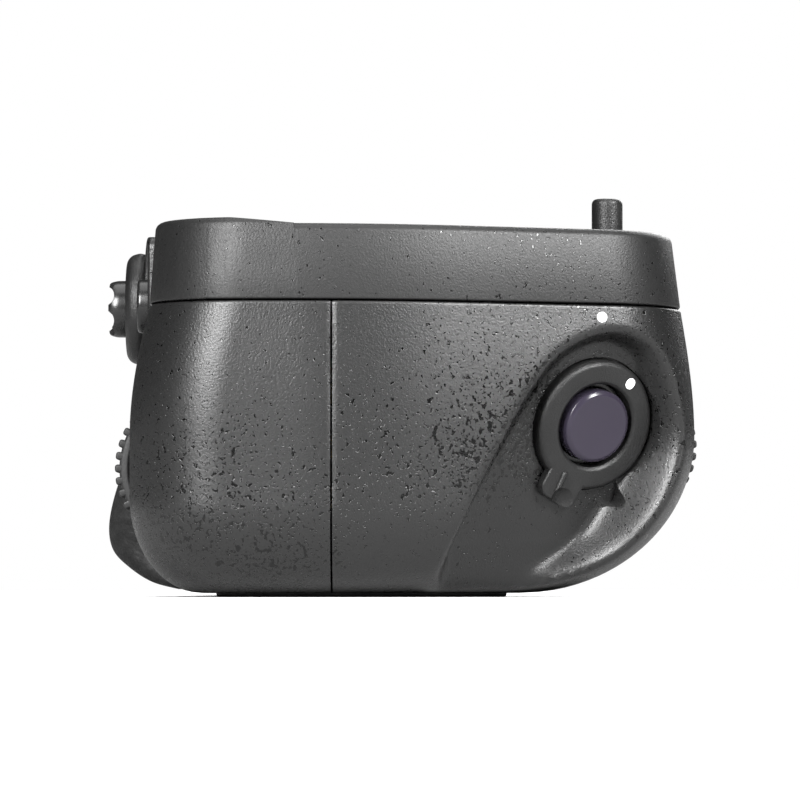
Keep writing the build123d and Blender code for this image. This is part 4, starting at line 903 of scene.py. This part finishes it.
selectorButton = turned("selectorButton", selectorAt, rearAim, [
    (0, 26.1), (1.0, 26.1, 0.1), (1.0, 34.3), (3.65, 34.3, 0.1), (3.65, 36.4, 0.5), (3.35, 37.4, 0.45),
    (0, 37.4)], count=96)
for offset in (-notch["offset"], notch["offset"]):
    x, z = selectorAt[0], selectorAt[2]
    cutAll(selectorButton, [rodTool((x, notch["y"], z + offset), (1, 0, 0), notch["radius"], -6, 6, count=48),
                            rodTool((x + offset, notch["y"], z), (0, 0, 1), notch["radius"], -6, 6, count=48)])
finishPiece(selectorButton, "selector_centre", "gloss_plastic", "selector_button", smoothAngle=45)
afButton = turned("afButton", sideButtonAt, rearAim, [
    (0, 28.1), (4.0, 28.1, 0.1), (4.0, 28.9), (3.4, 28.9), (3.4, 33.1, 0.6), (2.2, 32.95, 0.4), (0, 32.85)], count=96)
finishPiece(afButton, "af", "gloss_plastic", "af_button", smoothAngle=45)
print("rear controls")

# the battery side's end cap and its turning latch
leftPlace = axesAt((-body["leftX"], *trayCentre), (0, 1, 0), (-1, 0, 0))
cap = slab("trayEndCap", leftPlace, (16.8, 13.0), 4.0, (-3.0, 0.0), 0.5)
knobPlace, outwards = (-body["leftX"], -9.0, 20.0), (-1, 0, 0)
recess = turned("tool", knobPlace, outwards, [
    (0, -2.1), (7.3, -2.1, 0.3), (7.3, -0.3), (7.9, 1.0), (0, 1.0)])
cutAll(cap, [recess, rodTool(knobPlace, outwards, 2.05, -5, 5, count=48)])
finishPiece(cap, "tray", "textured_plastic", "tray_end_cap")
knob = turned("latchKnob", knobPlace, outwards, [
    (0, -5.4), (2.0, -5.4, 0.1), (2.0, -2.0), (7.0, -2.0, 0.1), (7.0, -0.8, 0.3), (6.3, -0.6, 0.2), (6.0, -0.85, 0.2),
    (0, -0.85)])
bar = slab("tool", axesAt(knobPlace, (0, 1, 0), outwards), (6.2, 1.35), 1.3, (-1.2, 0.2), 0.45)
cutAll(knob, [bar], "UNION")
finishPiece(knob, "latch", "smooth_plastic", "latch_knob")
print("battery side")

# rubber: the rest under the thumb and the pad on the battery side
thumbRest = {
    "profile": [(-33.2, 20.6), (-34.7, 17.4), (-36.3, 13.4), (-37.2, 9.2), (-36.7, 6.0), (-34.5, 3.7), (-31.6, 1.9),
                (-28.2, 1.0)],
    "ends": (19.2, 58.4), "lean": (4.4, 4.0), "round": (6.0, 4.5), "columns": 80, "sink": 0.35,
}


def openCurve(points, steps=8):
    points = np.array([points[0]] + list(points) + [points[-1]], float)
    fine = []
    for i in range(1, len(points) - 2):
        fine += curveBetween(*points[i - 1:i + 3], steps)
    fine.append(points[-2])
    return np.array(fine)


def rearFace(z):
    return -(body["rearY"] + 2.4 * belly(z) - tuck(z, body["rearTuck"]))


curve = openCurve(thumbRest["profile"])
stations = []
for k in range(thumbRest["columns"] + 1):
    u = k / thumbRest["columns"]
    loop = []
    for y, z in curve:
        face = rearFace(z)
        stand = face - y
        lean = stand / 5.0
        x0 = thumbRest["ends"][0] + thumbRest["lean"][0] * max(0.0, lean)
        x1 = thumbRest["ends"][1] - thumbRest["lean"][1] * max(0.0, lean)
        spread = 0.5 - 0.5 * math.cos(math.pi * u)
        x = x0 + (x1 - x0) * spread
        near = min(1.0, (x - x0) / thumbRest["round"][0], (x1 - x) / thumbRest["round"][1])
        rise = math.sqrt(max(0.0, 1 - (1 - near) ** 2))
        loop.append((x, face - (stand + thumbRest["sink"]) * rise + thumbRest["sink"], z))
    for y, z in curve[::-1]:
        face = rearFace(z) + 1.0
        x0, x1 = thumbRest["ends"]
        spread = 0.5 - 0.5 * math.cos(math.pi * u)
        loop.append((x0 + (x1 - x0) * spread, face, z))
    stations.append(loop)
n = len(stations[0])
count = len(stations)
faces = [(j * n + i, j * n + (i + 1) % n, (j + 1) * n + (i + 1) % n, (j + 1) * n + i)
         for j in range(count - 1) for i in range(n)]
faces += [tuple(range(n)), tuple(range((count - 1) * n, count * n))]
thumb = makeObject("thumbSkin", np.array(stations).reshape(-1, 3) * mm, faces, 40, outward=True)
finishPiece(thumb, "housing", "rubber", "thumb_rest", smoothAngle=50)

grip = slab("gripSkin", axesAt((-22.25, 14.3, 20.15), (1, 0, 0), (0, 1, 0)), (36.75, 13.95), 2.6, (0.0, 1.1), 0.5)
finishPiece(grip, "housing", "rubber", "front_grip_pad", smoothAngle=40)
print("rubber skins")

# finishes: on the CAD pieces that stay as they are, and on the new ones
wearing = {
    "basePlastic": ["base_plate", "battery_tray"],
    "greyPlastic": ["selector_cage", "selector_gimbal", "af_housing", "chamber_liner", "button_plunger",
                    "front_dial_code", "front_dial_bracket", "rear_dial_code", "rear_dial_bracket"],
    "packPlastic": ["battery_pack"],
    "chipPlastic": ["selector_switch", "af_switch", "chamber_contact_block", "release_switch",
                    "front_dial_sensor", "rear_dial_sensor", "board_chips"],
    "boardGreen": ["main_board"],
    "turnedSteel": ["clamp_clip", "latch_arm", "release_spring", "release_bracket", "screw_bush",
                    "front_dial_axle", "rear_dial_axle"],
    "castMetal": ["chassis"],
    "goldPlate": ["chamber_contacts", "tray_terminals", "contact_ribbon"],
}
for finish, names in wearing.items():
    for name in names:
        for place in nodes[name].material_slots:
            place.material = finishes[finish]
        if not nodes[name].material_slots:
            nodes[name].data.materials.append(finishes[finish])


def dress(finish, *objs):
    for obj in objs:
        obj.data.materials.clear()
        obj.data.materials.append(finishes[finish])


dress("casePlastic", frontShell, rearShell, panel, cap)
dress("framePlastic", topFrame)
dress("ringPlastic", ring, pad, bezel, knob, locatingPin)
dress("glossPlastic", button)
dress("blackGloss", guide, selectorButton, afButton, contactBlock)
dress("gripRubber", thumb, grip)
dress("markWhite", ringMark, caseMark)
dress("turnedSteel", clampScrew, socket)

# stage, light and camera
floorCount, floorRadius = 96, 0.8
floorTurns = np.linspace(0, 2 * math.pi, floorCount + 1)[:-1]
floorMesh = makeObject("floor", [(floorRadius * math.cos(a), floorRadius * math.sin(a), 0) for a in floorTurns],
                       [tuple(range(floorCount))])
floorMaterial, floorTree, floorShader = newMaterial("paleFloor")
floorShader.inputs["Base Color"].default_value = (0.9, 0.9, 0.9, 1)
floorShader.inputs["Roughness"].default_value = 0.9
floorShader.inputs["Emission Color"].default_value = (1, 1, 1, 1)
floorShader.inputs["Emission Strength"].default_value = 0.15
# mirrored in the body, the floor stays dim, as a sweep of paper does out of the light
dimFloor = node(floorTree, "ShaderNodeBsdfDiffuse", {"Color": (0.38, 0.38, 0.38, 1)})
floorRay = floorTree.nodes.new("ShaderNodeLightPath")
floorMix = node(floorTree, "ShaderNodeMixShader", {0: floorRay.outputs["Is Glossy Ray"],
                                                   1: floorShader.outputs["BSDF"], 2: dimFloor.outputs["BSDF"]})
floorOut = next(n for n in floorTree.nodes if n.type == "OUTPUT_MATERIAL")
floorTree.links.new(floorMix.outputs[0], floorOut.inputs["Surface"])
floorMesh.data.materials.append(floorMaterial)

studio = {"seen": 1.0, "fill": 0.05}
world = bpy.data.worlds.new("studio")
world.use_nodes = True
worldTree = world.node_tree
background = worldTree.nodes["Background"]
background.inputs["Color"].default_value = (1, 1, 1, 1)
ray = worldTree.nodes.new("ShaderNodeLightPath")
strength = node(worldTree, "ShaderNodeMath", {0: ray.outputs["Is Camera Ray"], 1: studio["seen"] - studio["fill"],
                                              2: studio["fill"]}, operation="MULTIPLY_ADD")
worldTree.links.new(strength.outputs[0], background.inputs["Strength"])
scene.world = world


def softbox(name, place, target, width, height, power):
    light = bpy.data.lights.new(name, "AREA")
    light.shape = "RECTANGLE"
    light.size, light.size_y, light.energy = width, height, power
    obj = bpy.data.objects.new(name, light)
    obj.location = place
    obj.rotation_euler = (Vector(target) - Vector(place)).to_track_quat("-Z", "Y").to_euler()
    scene.collection.objects.link(obj)


# place, target, width, height and watts
softboxes = {
    "leftSoftbox": ((0.72, -0.34, 0.4), (0.07, -0.02, 0.03), 0.17, 0.42, 15.0),
    "rightSoftbox": ((0.5, 0.5, 0.42), (0.07, 0.02, 0.04), 0.16, 0.25, 11.5),
    "topSoftbox": ((0.0, 0.0, 0.9), (0.0, 0.0, 0.0), 0.9, 0.7, 5.5),
    "rearFill": ((-0.7, 0.3, 0.4), (0.0, 0.0, 0.02), 0.5, 0.4, 4.0),
}
for name, values in softboxes.items():
    softbox(name, *values)

view = {"distance": 0.6, "nearX": 0.08, "height": 0.0014, "pitch": 2.165, "span": 0.0976, "sensor": 36.0}
camera = bpy.data.objects.new("camera", bpy.data.cameras.new("camera"))
camera.data.sensor_width = view["sensor"]
camera.data.lens = view["sensor"] * view["distance"] / view["span"]
camera.data.clip_start = 0.01
camera.location = (view["nearX"] + view["distance"], 0, view["height"])
aim = Vector((-1, 0, math.tan(math.radians(view["pitch"]))))
camera.rotation_euler = aim.to_track_quat("-Z", "Y").to_euler()
scene.collection.objects.link(camera)
scene.camera = camera
scene.view_settings.view_transform = "Standard"
print("stage ready")
